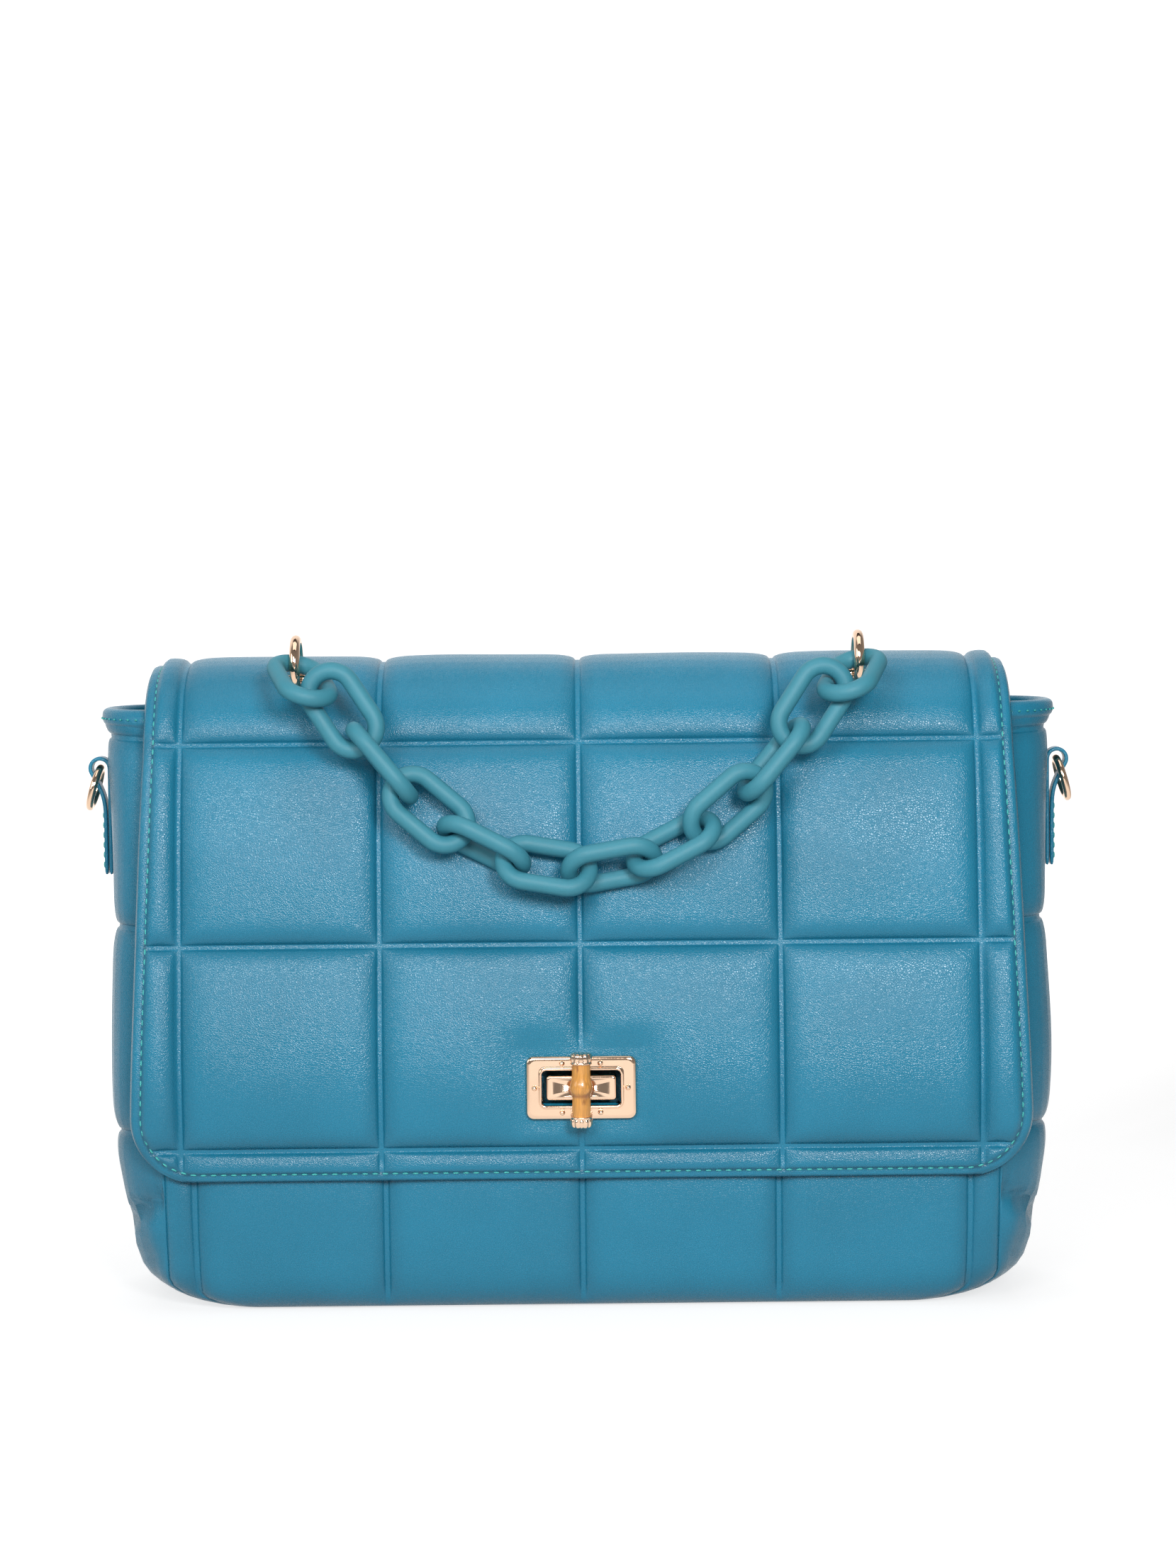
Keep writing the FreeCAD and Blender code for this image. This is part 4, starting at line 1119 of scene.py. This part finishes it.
def lathe(name, profile, centre, materials, steps=48, ribs=0, rib_depth=0.0, rib_rows=()):
    """A piece turned about an upright axis, with ribs round it on some rows if asked."""
    points = []
    for row, (radius, height) in enumerate(profile):
        for step in range(steps):
            angle = 2.0 * math.pi * step / steps
            size = radius + (rib_depth * math.cos(ribs * angle) if row in rib_rows else 0.0)
            x = centre[0] + size * math.cos(angle)
            y = centre[1] + size * math.sin(angle)
            points.append((x, y, centre[2] + height))
    faces = ring_faces(len(profile), steps)
    faces += [disc_face(0, steps), disc_face(len(profile) - 1, steps)]
    return new_piece(name, points, faces, materials)


def rounded_ring(half_x, half_z, corner, y, steps=7):
    """Points round a rectangle with round corners that stands at one depth."""
    ring = []
    for quarter, (sx, sz) in enumerate(((1, 1), (-1, 1), (-1, -1), (1, -1))):
        for step in range(steps + 1):
            angle = math.pi / 2.0 * (quarter + step / steps)
            ring.append((sx * (half_x - corner) + corner * math.cos(angle), y,
                         LOCK_UP + sz * (half_z - corner) + corner * math.sin(angle)))
    return ring


def make_lock_plate():
    """The frame on the flap: a plate with soft edges and a raised rim round its slot."""
    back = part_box("lock_frame")[1].y / MM
    half_x, half_z = PLATE[0] / 2.0, PLATE[1] / 2.0
    slot_x, slot_z = SLOT[0] / 2.0, SLOT[1] / 2.0
    outer_edge = (
        (0.0, 2.6, 0.0), (0.0, 2.6, 0.75), (0.06, 2.56, 0.95), (0.3, 2.45, 1.25),
        (0.7, 2.3, 1.48), (1.2, 2.15, 1.58), (1.5, 2.1, 1.6), (1.8, 2.1, 1.6),
    )
    slot_rim = (
        (1.5, 2.6, 1.6), (1.2, 2.6, 1.6), (1.05, 2.6, 1.68), (1.0, 2.6, 1.95),
        (0.95, 2.55, 2.25), (0.75, 2.4, 2.38), (0.5, 2.1, 2.4), (0.2, 1.8, 2.36),
        (0.05, 1.65, 2.2), (0.0, 1.6, 1.9), (0.0, 1.6, 0.0),
    )
    loops = []
    for inset, corner, out in outer_edge:
        loops.append(rounded_ring(half_x - inset, half_z - inset, corner, back - out))
    for inset, corner, out in slot_rim:
        loops.append(rounded_ring(slot_x + inset, slot_z + inset, corner, back - out))
    return swept_band("lock_plate", loops, ["Plated metal"])


def make_lock_block():
    """The block on the front panel that the knob's post turns in."""
    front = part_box("lock_base")[0].y / MM
    half_x, half_z = BLOCK[0] / 2.0, BLOCK[1] / 2.0
    edge = (
        (0.0, 1.2, 10.6), (0.0, 1.2, 0.95), (0.07, 1.15, 0.6), (0.35, 1.0, 0.18),
        (0.75, 0.9, 0.02), (1.0, 0.85, 0.0), (1.2, 0.8, 0.0),
    )
    loops = []
    for inset, corner, depth in edge:
        loops.append(rounded_ring(half_x - inset, half_z - inset, corner, front + depth))
    for radius, depth in ((2.4, 0.0), (2.15, 0.1), (2.12, 0.4), (2.12, 6.5), (3.55, 6.6), (3.55, 10.6)):
        loops.append(rounded_ring(radius, radius, radius, front + depth))
    return swept_band("lock_block", loops, ["Plated metal"])


def make_knob():
    """The bamboo bar with its thick node, and the ribbed metal caps on its ends."""
    low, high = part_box("knob_bamboo")
    cap_low, cap_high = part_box("knob_cap_top")
    centre = ((low.x + high.x) / 2 / MM, (low.y + high.y) / 2 / MM, LOCK_UP)
    stem = (high.z - low.z) / 2 / MM
    bar = [
        (0.4, -stem), (3.1, -stem), (3.25, -9.0), (3.35, -7.0), (3.35, -5.2), (3.25, -3.4), (3.15, -2.4),
        (3.4, -2.0), (3.3, -1.6), (3.7, -1.0), (4.05, 0.1), (4.1, 1.0), (3.95, 2.0), (3.6, 3.2),
        (3.35, 4.8), (3.25, 6.6), (3.3, 8.6), (3.2, stem), (0.4, stem),
    ]
    bamboo = subdivided(lathe("bamboo_bar", bar, centre, ["Bamboo"]))
    half = (cap_high.z - cap_low.z) / 2 / MM
    middle = (cap_low.z + cap_high.z) / 2 / MM - LOCK_UP
    end = [
        (3.2, -half), (3.75, -half), (3.85, -half + 0.25), (3.75, -half + 0.6), (3.6, -half + 0.8),
        (3.7, -half + 1.1), (3.75, -0.2), (3.7, 0.8), (3.55, half - 0.75), (3.3, half - 0.35),
        (2.9, half - 0.1), (2.3, half), (0.3, half - 0.12),
    ]
    caps = []
    for name, node, sign in (("cap_upper", "knob_cap_top", 1.0), ("cap_lower", "knob_cap_bottom", -1.0)):
        profile = [(radius, sign * (middle + height)) for radius, height in end]
        piece = lathe(name, profile, centre, ["Plated metal"], 96, 12, 0.22, range(5, 11))
        caps.append((piece, node))
    return bamboo, caps


# Finishes

def grain_group():
    """Fine leather grain: a height for bump, and a tone that drifts slowly."""
    tree = new_group("Leather grain", "ShaderNodeTree")
    tree.socket("Cell scale", "NodeSocketFloat", value=1500.0)
    tree.socket("Drift scale", "NodeSocketFloat", value=22.0)
    tree.socket("Height", "NodeSocketFloat", "OUTPUT")
    tree.socket("Tone", "NodeSocketFloat", "OUTPUT")
    given = tree.node("NodeGroupInput")
    place = tree.node("ShaderNodeTexCoord")
    bend = tree.node("ShaderNodeTexNoise", Vector=place.outputs["Object"], Scale=420.0, Detail=2.0)
    pull = tree.math("MULTIPLY", bend.outputs["Color"], (0.0012, 0.0012, 0.0012), kind="ShaderNodeVectorMath")
    moved = tree.math("ADD", place.outputs["Object"], pull, kind="ShaderNodeVectorMath")
    cells = tree.tree.nodes.new("ShaderNodeTexVoronoi")
    cells.feature = "DISTANCE_TO_EDGE"
    tree.feed(cells, "Vector", moved)
    tree.feed(cells, "Scale", given.outputs["Cell scale"])
    pebble = tree.node("ShaderNodeMapRange", Value=cells.outputs["Distance"], From_Min=0.0, From_Max=0.22)
    pores = tree.node("ShaderNodeTexNoise", Vector=place.outputs["Object"], Scale=2600.0, Detail=3.0)
    both = tree.math("MULTIPLY_ADD", pores.outputs["Fac"], 0.6, pebble.outputs["Result"])
    slow = tree.node("ShaderNodeTexNoise", Vector=place.outputs["Object"],
                     Scale=given.outputs["Drift scale"], Detail=3.0)
    tree.node("NodeGroupOutput", Height=both, Tone=slow.outputs["Fac"])
    return tree.tree


def wear_group():
    """Fine scuffs: a mask of short scratches with a soft drift."""
    tree = new_group("Fine scuffs", "ShaderNodeTree")
    tree.socket("Scale", "NodeSocketFloat", value=900.0)
    tree.socket("Mask", "NodeSocketFloat", "OUTPUT")
    given = tree.node("NodeGroupInput")
    place = tree.node("ShaderNodeTexCoord")
    stretch = tree.node("ShaderNodeMapping", Vector=place.outputs["Object"],
                        Scale=(1.0, 1.0, 0.25), Rotation=(0.4, 0.7, 0.2))
    marks = tree.node("ShaderNodeTexNoise", Vector=stretch.outputs["Vector"],
                      Scale=given.outputs["Scale"], Detail=4.0, Roughness=0.65)
    level_of = tree.node("ShaderNodeMapRange", Value=marks.outputs["Fac"], From_Min=0.35, From_Max=0.75)
    tree.node("NodeGroupOutput", Mask=level_of.outputs["Result"])
    return tree.tree


def new_material(name):
    """A new material, as a tree that can be filled, with its shader."""
    material = bpy.data.materials.new(name)
    material.use_nodes = True
    tree = Tree(material.node_tree)
    shader = next(node for node in tree.tree.nodes if node.type == "BSDF_PRINCIPLED")
    return tree, shader


def group_node(tree, group, **inputs):
    """A node that holds one of the shared effects, with its own values."""
    node = tree.tree.nodes.new("ShaderNodeGroup")
    node.node_tree = bpy.data.node_groups[group]
    return tree.fill(node, inputs)


def mixed(tree, factor, first, second):
    """Goes from the first colour to the second by a factor."""
    node = tree.tree.nodes.new("ShaderNodeMix")
    node.data_type = "RGBA"
    for place, value in ((0, factor), (6, first), (7, second)):
        tree.feed(node, place, value)
    return node.outputs[2]


def ranged(tree, value, low, high, start=0.0, end=1.0):
    """Maps a value between start and end to the range from low to high."""
    node = tree.node("ShaderNodeMapRange", Value=value, From_Min=start, From_Max=end, To_Min=low, To_Max=high)
    return node.outputs["Result"]


def bumped(tree, shader, height, strength, distance):
    """Gives a shader a fine relief."""
    node = tree.node("ShaderNodeBump", Height=height, Strength=strength, Distance=distance)
    tree.feed(shader, "Normal", node.outputs["Normal"])


def opaque(colour, share=1.0):
    """A colour made lighter or darker by a share, with full alpha."""
    return tuple(v * share for v in colour) + (1.0,)


def make_leather(name, colour, pore_and_shade_colour, cell, bump, rough):
    tree, shader = new_material(name)
    grain = group_node(tree, "Leather grain", Cell_scale=cell, Drift_scale=24.0)
    # A point attribute paints shade: channels, creases and folds are mixed towards the darker pore colour
    crease_and_shade = tree.node("ShaderNodeAttribute")
    crease_and_shade.attribute_name = "crease_and_shade"
    drifting = ranged(tree, grain.outputs["Tone"], 0.0, 1.0, 0.3, 0.7)
    toned = mixed(tree, drifting, opaque(colour, 0.93), opaque(colour, 1.07))
    pores = mixed(tree, ranged(tree, grain.outputs["Height"], 0.16, 0.0, 0.2, 0.9), toned, opaque(pore_and_shade_colour))
    folded = mixed(tree, crease_and_shade.outputs["Fac"], pores, opaque(pore_and_shade_colour))
    tree.feed(shader, "Base Color", folded)
    tree.feed(shader, "Roughness", ranged(tree, grain.outputs["Height"], rough + 0.10, rough, 0.1, 1.2))
    bumped(tree, shader, grain.outputs["Height"], bump, 0.00035)
    shader.inputs["Specular IOR Level"].default_value = 0.42


def make_cloth(colour):
    tree, shader = new_material("Lining cloth")
    place = tree.node("ShaderNodeTexCoord")
    weaves = []
    for direction in ("X", "Z"):
        wave = tree.node("ShaderNodeTexWave", Vector=place.outputs["Object"], Scale=520.0, Distortion=0.6)
        wave.bands_direction = direction
        weaves.append(wave.outputs["Fac"])
    cross = tree.math("MAXIMUM", *weaves)
    tree.feed(shader, "Base Color", mixed(tree, cross, opaque(colour, 0.75), opaque(colour, 1.1)))
    bumped(tree, shader, cross, 0.4, 0.0002)
    shader.inputs["Roughness"].default_value = 0.85


def make_chain_finish(colour):
    tree, shader = new_material("Moulded link")
    scuff = group_node(tree, "Fine scuffs", Scale=700.0)
    grain = group_node(tree, "Leather grain", Cell_scale=3200.0, Drift_scale=60.0)
    toned = mixed(tree, grain.outputs["Tone"], opaque(colour, 0.92), opaque(colour, 1.08))
    scuffed = ranged(tree, scuff.outputs["Mask"], 0.0, 0.12)
    tree.feed(shader, "Base Color", mixed(tree, scuffed, toned, opaque(colour, 1.5)))
    tree.feed(shader, "Roughness", ranged(tree, scuff.outputs["Mask"], 0.50, 0.60))
    bumped(tree, shader, grain.outputs["Height"], 0.10, 0.00015)
    shader.inputs["Specular IOR Level"].default_value = 0.45


def make_thread(colour):
    tree, shader = new_material("Thread")
    place = tree.node("ShaderNodeTexCoord")
    twist = tree.node("ShaderNodeTexWave", Vector=place.outputs["Object"], Scale=900.0, Distortion=1.0)
    twist.bands_direction = "DIAGONAL"
    twisted = mixed(tree, twist.outputs["Fac"], opaque(colour, 0.7), opaque(colour, 1.2))
    tree.feed(shader, "Base Color", twisted)
    bumped(tree, shader, twist.outputs["Fac"], 0.5, 0.0001)
    shader.inputs["Roughness"].default_value = 0.55


def make_gold(colour):
    tree, shader = new_material("Plated metal")
    scuff = group_node(tree, "Fine scuffs", Scale=1400.0)
    grain = group_node(tree, "Leather grain", Cell_scale=2600.0, Drift_scale=90.0)
    drifting = ranged(tree, grain.outputs["Tone"], 0.0, 1.0, 0.3, 0.7)
    tree.feed(shader, "Base Color", mixed(tree, drifting, opaque(colour, 0.95), opaque(colour, 1.03)))
    tree.feed(shader, "Roughness", ranged(tree, scuff.outputs["Mask"], 0.06, 0.13))
    bumped(tree, shader, scuff.outputs["Mask"], 0.02, 0.0001)
    shader.inputs["Metallic"].default_value = 1.0


def make_bamboo(colour):
    tree, shader = new_material("Bamboo")
    place = tree.node("ShaderNodeTexCoord")
    fine = tree.node("ShaderNodeMapping", Vector=place.outputs["Object"], Scale=(1.0, 1.0, 0.06))
    fibres = tree.node("ShaderNodeTexNoise", Vector=fine.outputs["Vector"], Scale=2400.0, Detail=4.0)
    broad = tree.node("ShaderNodeMapping", Vector=place.outputs["Object"], Scale=(1.0, 1.0, 0.35))
    scorch = tree.node("ShaderNodeTexNoise", Vector=broad.outputs["Vector"],
                       Scale=330.0, Detail=3.0, Distortion=0.6)
    parts = tree.node("ShaderNodeSeparateXYZ", Vector=place.outputs["Object"])
    fibre_tone = ranged(tree, fibres.outputs["Fac"], 0.0, 1.0, 0.3, 0.7)
    wood = mixed(tree, fibre_tone, opaque(colour, 0.72), opaque(colour, 1.18))
    scorched = ranged(tree, scorch.outputs["Fac"], 0.0, 0.8, 0.56, 0.74)
    burnt = mixed(tree, scorched, wood, (0.20, 0.055, 0.012, 1.0))
    off_node = tree.math("SUBTRACT", parts.outputs["Z"], (LOCK_UP - 1.8) * MM)
    near = tree.math("ABSOLUTE", off_node)
    ringed = mixed(tree, ranged(tree, near, 0.75, 0.0, 0.0, 0.0011), burnt, (0.26, 0.085, 0.02, 1.0))
    tree.feed(shader, "Base Color", ringed)
    tree.feed(shader, "Roughness", ranged(tree, fibres.outputs["Fac"], 0.24, 0.38))
    bumped(tree, shader, fibres.outputs["Fac"], 0.25, 0.00015)
    shader.inputs["Coat Weight"].default_value = 0.6
    shader.inputs["Coat Roughness"].default_value = 0.08


def make_board():
    tree, shader = new_material("Board")
    grain = group_node(tree, "Leather grain", Cell_scale=900.0, Drift_scale=40.0)
    toned = mixed(tree, grain.outputs["Tone"], (0.05, 0.055, 0.06, 1.0), (0.08, 0.085, 0.09, 1.0))
    tree.feed(shader, "Base Color", toned)
    bumped(tree, shader, grain.outputs["Height"], 0.3, 0.0003)
    shader.inputs["Roughness"].default_value = 0.8


GOLD_NODES = (
    "lock_backplate", "lock_spring", "lock_frame_backplate", "lock_rivets",
    "bridge_left", "bridge_right", "bridge_washers", "knob_post",
    "ring_left", "ring_right", "strap_ring_left", "strap_ring_right",
)


def paint_node(node, material):
    """Gives a solid its finish."""
    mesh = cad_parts[node].data
    mesh.materials.clear()
    mesh.materials.append(bpy.data.materials[material])


def place_piece(piece, body, slot, *nodes):
    """Hangs a piece on its body and hides the solids it stands for. The slot is not used."""
    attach(piece, body)
    if nodes:
        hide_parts(*nodes)


# Stage

def paper_light(x, y, radius):
    """How white the floor and wall look: white behind the bag and grey on the camera's side."""
    if radius < 0.01:
        return PAPER_NEAR
    behind = 0.5 + 0.5 * (WHITE_TOWARDS[0] * x + WHITE_TOWARDS[1] * y) / radius
    distant = PAPER_FRONT + (1.0 - PAPER_FRONT) * float(ease(0.6, 0.97, behind))
    distant += PAPER_STRIP * float(ease(0.8, 1.0, -y / radius)) * (1.0 - float(ease(1.2, 1.6, radius)))
    share = float(ease(0.25, 0.9, radius))
    return PAPER_NEAR + (distant - PAPER_NEAR) * share


def make_floor():
    """A round floor that bends up into a wall."""
    profile = [(radius, 0.0) for radius in (0.0, 0.2, 0.35, 0.55, 0.8, 1.1, 1.4, FLOOR_RADIUS)]
    for step in range(1, 13):
        angle = math.pi / 2.0 * step / 12
        profile.append((FLOOR_RADIUS + WALL_BEND * math.sin(angle), WALL_BEND - WALL_BEND * math.cos(angle)))
    profile.append((FLOOR_RADIUS + WALL_BEND, WALL_TOP))
    points, faces, paper = [], [], []
    for radius, height in profile:
        for step in range(FLOOR_STEPS):
            angle = 2.0 * math.pi * step / FLOOR_STEPS
            x, y = radius * math.cos(angle), radius * math.sin(angle)
            points.append((x, y, height - 0.0004))
            paper.append(paper_light(x, y, radius))
    for ring in range(len(profile) - 1):
        for step in range(FLOOR_STEPS):
            a, b = ring * FLOOR_STEPS + step, ring * FLOOR_STEPS + (step + 1) % FLOOR_STEPS
            if ring == 0:
                faces.append((a, a + FLOOR_STEPS, b + FLOOR_STEPS))
            else:
                faces.append((a, a + FLOOR_STEPS, b + FLOOR_STEPS, b))
    mesh = bpy.data.meshes.new("floor")
    mesh.from_pydata(points, [], faces)
    tree, shader = new_material("Pale floor")
    shader.inputs["Base Color"].default_value = (0.34, 0.34, 0.34, 1.0)
    shader.inputs["Roughness"].default_value = 0.9
    seen = tree.node("ShaderNodeLightPath")
    looked_at = tree.math("MAXIMUM", seen.outputs["Is Camera Ray"], seen.outputs["Is Glossy Ray"])
    looked_at = tree.math("MAXIMUM", looked_at, seen.outputs["Is Transmission Ray"])
    shader.inputs["Emission Color"].default_value = (1.0, 1.0, 1.0, 1.0)
    white = tree.node("ShaderNodeAttribute")
    white.attribute_name = "paper"
    tree.feed(shader, "Emission Strength", tree.math("MULTIPLY", looked_at, white.outputs["Fac"]))
    shader.inputs["Specular IOR Level"].default_value = 0.1
    mesh.materials.append(bpy.data.materials["Pale floor"])
    floor = bpy.data.objects.new("floor", mesh)
    add_attribute(floor, "paper", paper)
    bpy.context.scene.collection.objects.link(floor)
    for face in mesh.polygons:
        face.use_smooth = True


def make_world(scene):
    """A faint even light from all sides."""
    world = bpy.data.worlds.new("Soft studio")
    scene.world = world
    world.use_nodes = True
    back = world.node_tree.nodes["Background"]
    back.inputs["Color"].default_value = (1.0, 1.0, 1.0, 1.0)
    back.inputs["Strength"].default_value = WORLD_LIGHT


def make_lamps():
    """Soft lamps. The back one only lights the floor and edges, and isn't seen in the gloss."""
    for name, place, aim, size, power in LAMPS:
        lamp = bpy.data.lights.new(name, "AREA")
        lamp.shape = "RECTANGLE"
        lamp.size, lamp.size_y = size
        lamp.energy = power
        holder = bpy.data.objects.new(name, lamp)
        holder.location = place
        holder.rotation_euler = (Vector(aim) - Vector(place)).to_track_quat("-Z", "Y").to_euler()
        holder.visible_glossy = name != "back"
        bpy.context.scene.collection.objects.link(holder)


def make_camera(scene):
    """A camera that looks at the front from slightly above."""
    eye = bpy.data.cameras.new("camera")
    eye.sensor_width = SENSOR
    eye.lens = SENSOR * FOCAL_PIXELS / FRAME_PIXELS
    eye.clip_start = 0.05
    holder = bpy.data.objects.new("camera", eye)
    holder.location = CAMERA_PLACE
    holder.rotation_mode = "QUATERNION"
    tilt = Quaternion((1.0, 0.0, 0.0), math.radians(90.0 - CAMERA_DOWN))
    roll = Quaternion((0.0, 0.0, 1.0), math.radians(CAMERA_ROLL))
    holder.rotation_quaternion = tilt @ roll
    scene.collection.objects.link(holder)
    scene.camera = holder
    scene.view_settings.view_transform = "Standard"


# Operators

class BAG_OT_finishes(bpy.types.Operator):
    """Make the leather, cloth, thread, plastic, metal and bamboo finishes"""
    bl_idname = "bag.finishes"
    bl_label = "Finishes"

    def execute(self, context):
        finish = context.scene.bag_finish
        grain_group()
        wear_group()
        make_leather("Padded leather", finish.leather, finish.leather_pore_and_shade, 1300.0, 0.22, 0.25)
        smooth = [v * 0.8 for v in finish.leather]
        make_leather("Smooth leather", smooth, finish.leather_pore_and_shade, 1900.0, 0.12, 0.5)
        make_cloth(finish.inside)
        make_chain_finish(finish.chain)
        make_thread(finish.thread)
        make_gold(finish.gold)
        make_bamboo(finish.bamboo)
        make_board()
        for node in GOLD_NODES:
            paint_node(node, "Plated metal")
        paint_node("base_board", "Board")
        return {"FINISHED"}


class BAG_OT_panels(bpy.types.Operator):
    """Make the quilted front and back, the gussets and the base"""
    bl_idname = "bag.panels"
    bl_label = "Panels"

    def execute(self, context):
        settings = context.scene.bag_body
        panels = (("front_quilt", "front_panel", 1.0), ("back_quilt", "back_panel", -1.0))
        for name, node, side in panels:
            piece = make_front_or_back(settings, name, side)
            place_piece(piece, "body", "leather", node)
        gussets = (("gusset_pad_left", "gusset_left", -1.0), ("gusset_pad_right", "gusset_right", 1.0))
        for name, node, side in gussets:
            piece = make_gusset(settings, name, side)
            place_piece(piece, "body", "leather", node)
        place_piece(make_base(), "body", "leather", "base_panel")
        return {"FINISHED"}


class BAG_OT_inside(bpy.types.Operator):
    """Make the rim with its facing, and the lining"""
    bl_idname = "bag.inside"
    bl_label = "Rim and lining"

    def execute(self, context):
        place_piece(make_rim(), "body", "leather", "rim_facing")
        place_piece(make_lining(), "body", "lining", "lining")
        return {"FINISHED"}


class BAG_OT_flap(bpy.types.Operator):
    """Make the quilted flap and the strip that holds it"""
    bl_idname = "bag.flap"
    bl_label = "Flap"

    def execute(self, context):
        piece = make_flap(context.scene.bag_flap)
        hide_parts("flap_outer", "flap_lining")
        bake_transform(piece, "body", "flap", start=(0.0, 0.0400, 0.2058), end=(0.0, 0.0318, 0.2098))
        place_piece(make_hem(), "body", "leather", "flap_back_hem")
        return {"FINISHED"}


class BAG_OT_tabs(bpy.types.Operator):
    """Make the folded tabs of the strap rings"""
    bl_idname = "bag.tabs"
    bl_label = "Tabs"

    def execute(self, context):
        place_piece(make_tab("tab_strip_left", -1.0), "body", "leather", "tab_left")
        place_piece(make_tab("tab_strip_right", 1.0), "body", "leather", "tab_right")
        return {"FINISHED"}


class BAG_OT_chain(bpy.types.Operator):
    """Make the moulded links of the handle"""
    bl_idname = "bag.chain"
    bl_label = "Chain"

    def execute(self, context):
        places = link_places()
        size = np.mean([place[3] for place in places], axis=0)
        piece = copies_on_points("chain_links", link_tree(), places, "Moulded link",
                                 {"Length": size[2], "Width": size[1], "Wire": size[0]})
        place_piece(piece, "handle", "chain", *LINK_NODES)
        return {"FINISHED"}


class BAG_OT_lock(bpy.types.Operator):
    """Make the lock's plate and block, and its bamboo bar with ribbed caps"""
    bl_idname = "bag.lock"
    bl_label = "Lock"

    def execute(self, context):
        place_piece(make_lock_plate(), "flap", "gold", "lock_frame")
        place_piece(make_lock_block(), "body", "gold", "lock_base")
        bamboo, caps = make_knob()
        place_piece(bamboo, "knob", "bamboo", "knob_bamboo")
        for piece, node in caps:
            place_piece(piece, "knob", "gold", node)
        return {"FINISHED"}


class BAG_OT_stitches(bpy.types.Operator):
    """Sew the topstitch of the flap, the rim, the hem and the tabs"""
    bl_idname = "bag.stitches"
    bl_label = "Stitches"

    def execute(self, context):
        thread = context.scene.bag_thread
        flap = context.scene.bag_flap
        tree = stitch_tree()
        sizes = {"Length": thread.length, "Width": thread.width}
        flap_places = stitches_along(*flap_stitch_line(flap), thread.pitch)
        piece = copies_on_points("flap_stitches", tree, flap_places, "Thread", sizes)
        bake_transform(piece, "body", "flap", start=(0.0, 0.0400, 0.2058), end=(0.0, 0.0318, 0.2098))
        body_places = []
        for line, away in body_stitch_lines():
            body_places += stitches_along(line, away, thread.pitch)
        piece = copies_on_points("body_stitches", tree, body_places, "Thread", sizes)
        place_piece(piece, "body", "leather")
        return {"FINISHED"}


class BAG_OT_stage(bpy.types.Operator):
    """Make the pale floor, the soft lamps and the camera"""
    bl_idname = "bag.stage"
    bl_label = "Stage"

    def execute(self, context):
        make_floor()
        make_world(context.scene)
        make_lamps()
        make_camera(context.scene)
        return {"FINISHED"}


# Panel and registration

class BAG_PT_panel(bpy.types.Panel):
    """Lists the settings and the pieces of the bag"""
    bl_idname = "BAG_PT_panel"
    bl_label = "Quilted chain bag"
    bl_space_type = "VIEW_3D"
    bl_region_type = "UI"
    bl_category = "Bag"

    def draw(self, context):
        for group in SETTINGS:
            box = self.layout.box()
            settings = getattr(context.scene, group)
            for name in settings.__annotations__:
                box.prop(settings, name)
        for operator in OPERATORS:
            self.layout.operator(operator.bl_idname)


SETTINGS = {
    "bag_flap": BagFlapSettings,
    "bag_body": BagBodySettings,
    "bag_thread": BagThreadSettings,
    "bag_finish": BagFinishSettings,
}
OPERATORS = (
    BAG_OT_finishes, BAG_OT_panels, BAG_OT_inside, BAG_OT_flap, BAG_OT_tabs,
    BAG_OT_chain, BAG_OT_lock, BAG_OT_stitches, BAG_OT_stage,
)
CLASSES = tuple(SETTINGS.values()) + OPERATORS + (BAG_PT_panel,)


def register():
    for item in CLASSES:
        bpy.utils.register_class(item)
    for name, group in SETTINGS.items():
        setattr(bpy.types.Scene, name, PointerProperty(type=group))


def unregister():
    for name in SETTINGS:
        delattr(bpy.types.Scene, name)
    for item in reversed(CLASSES):
        bpy.utils.unregister_class(item)


def main():
    register()
    for operator in OPERATORS:
        space, name = operator.bl_idname.split(".")
        getattr(getattr(bpy.ops, space), name)()
    bpy.context.view_layer.update()


if __name__ == "__main__":
    main()
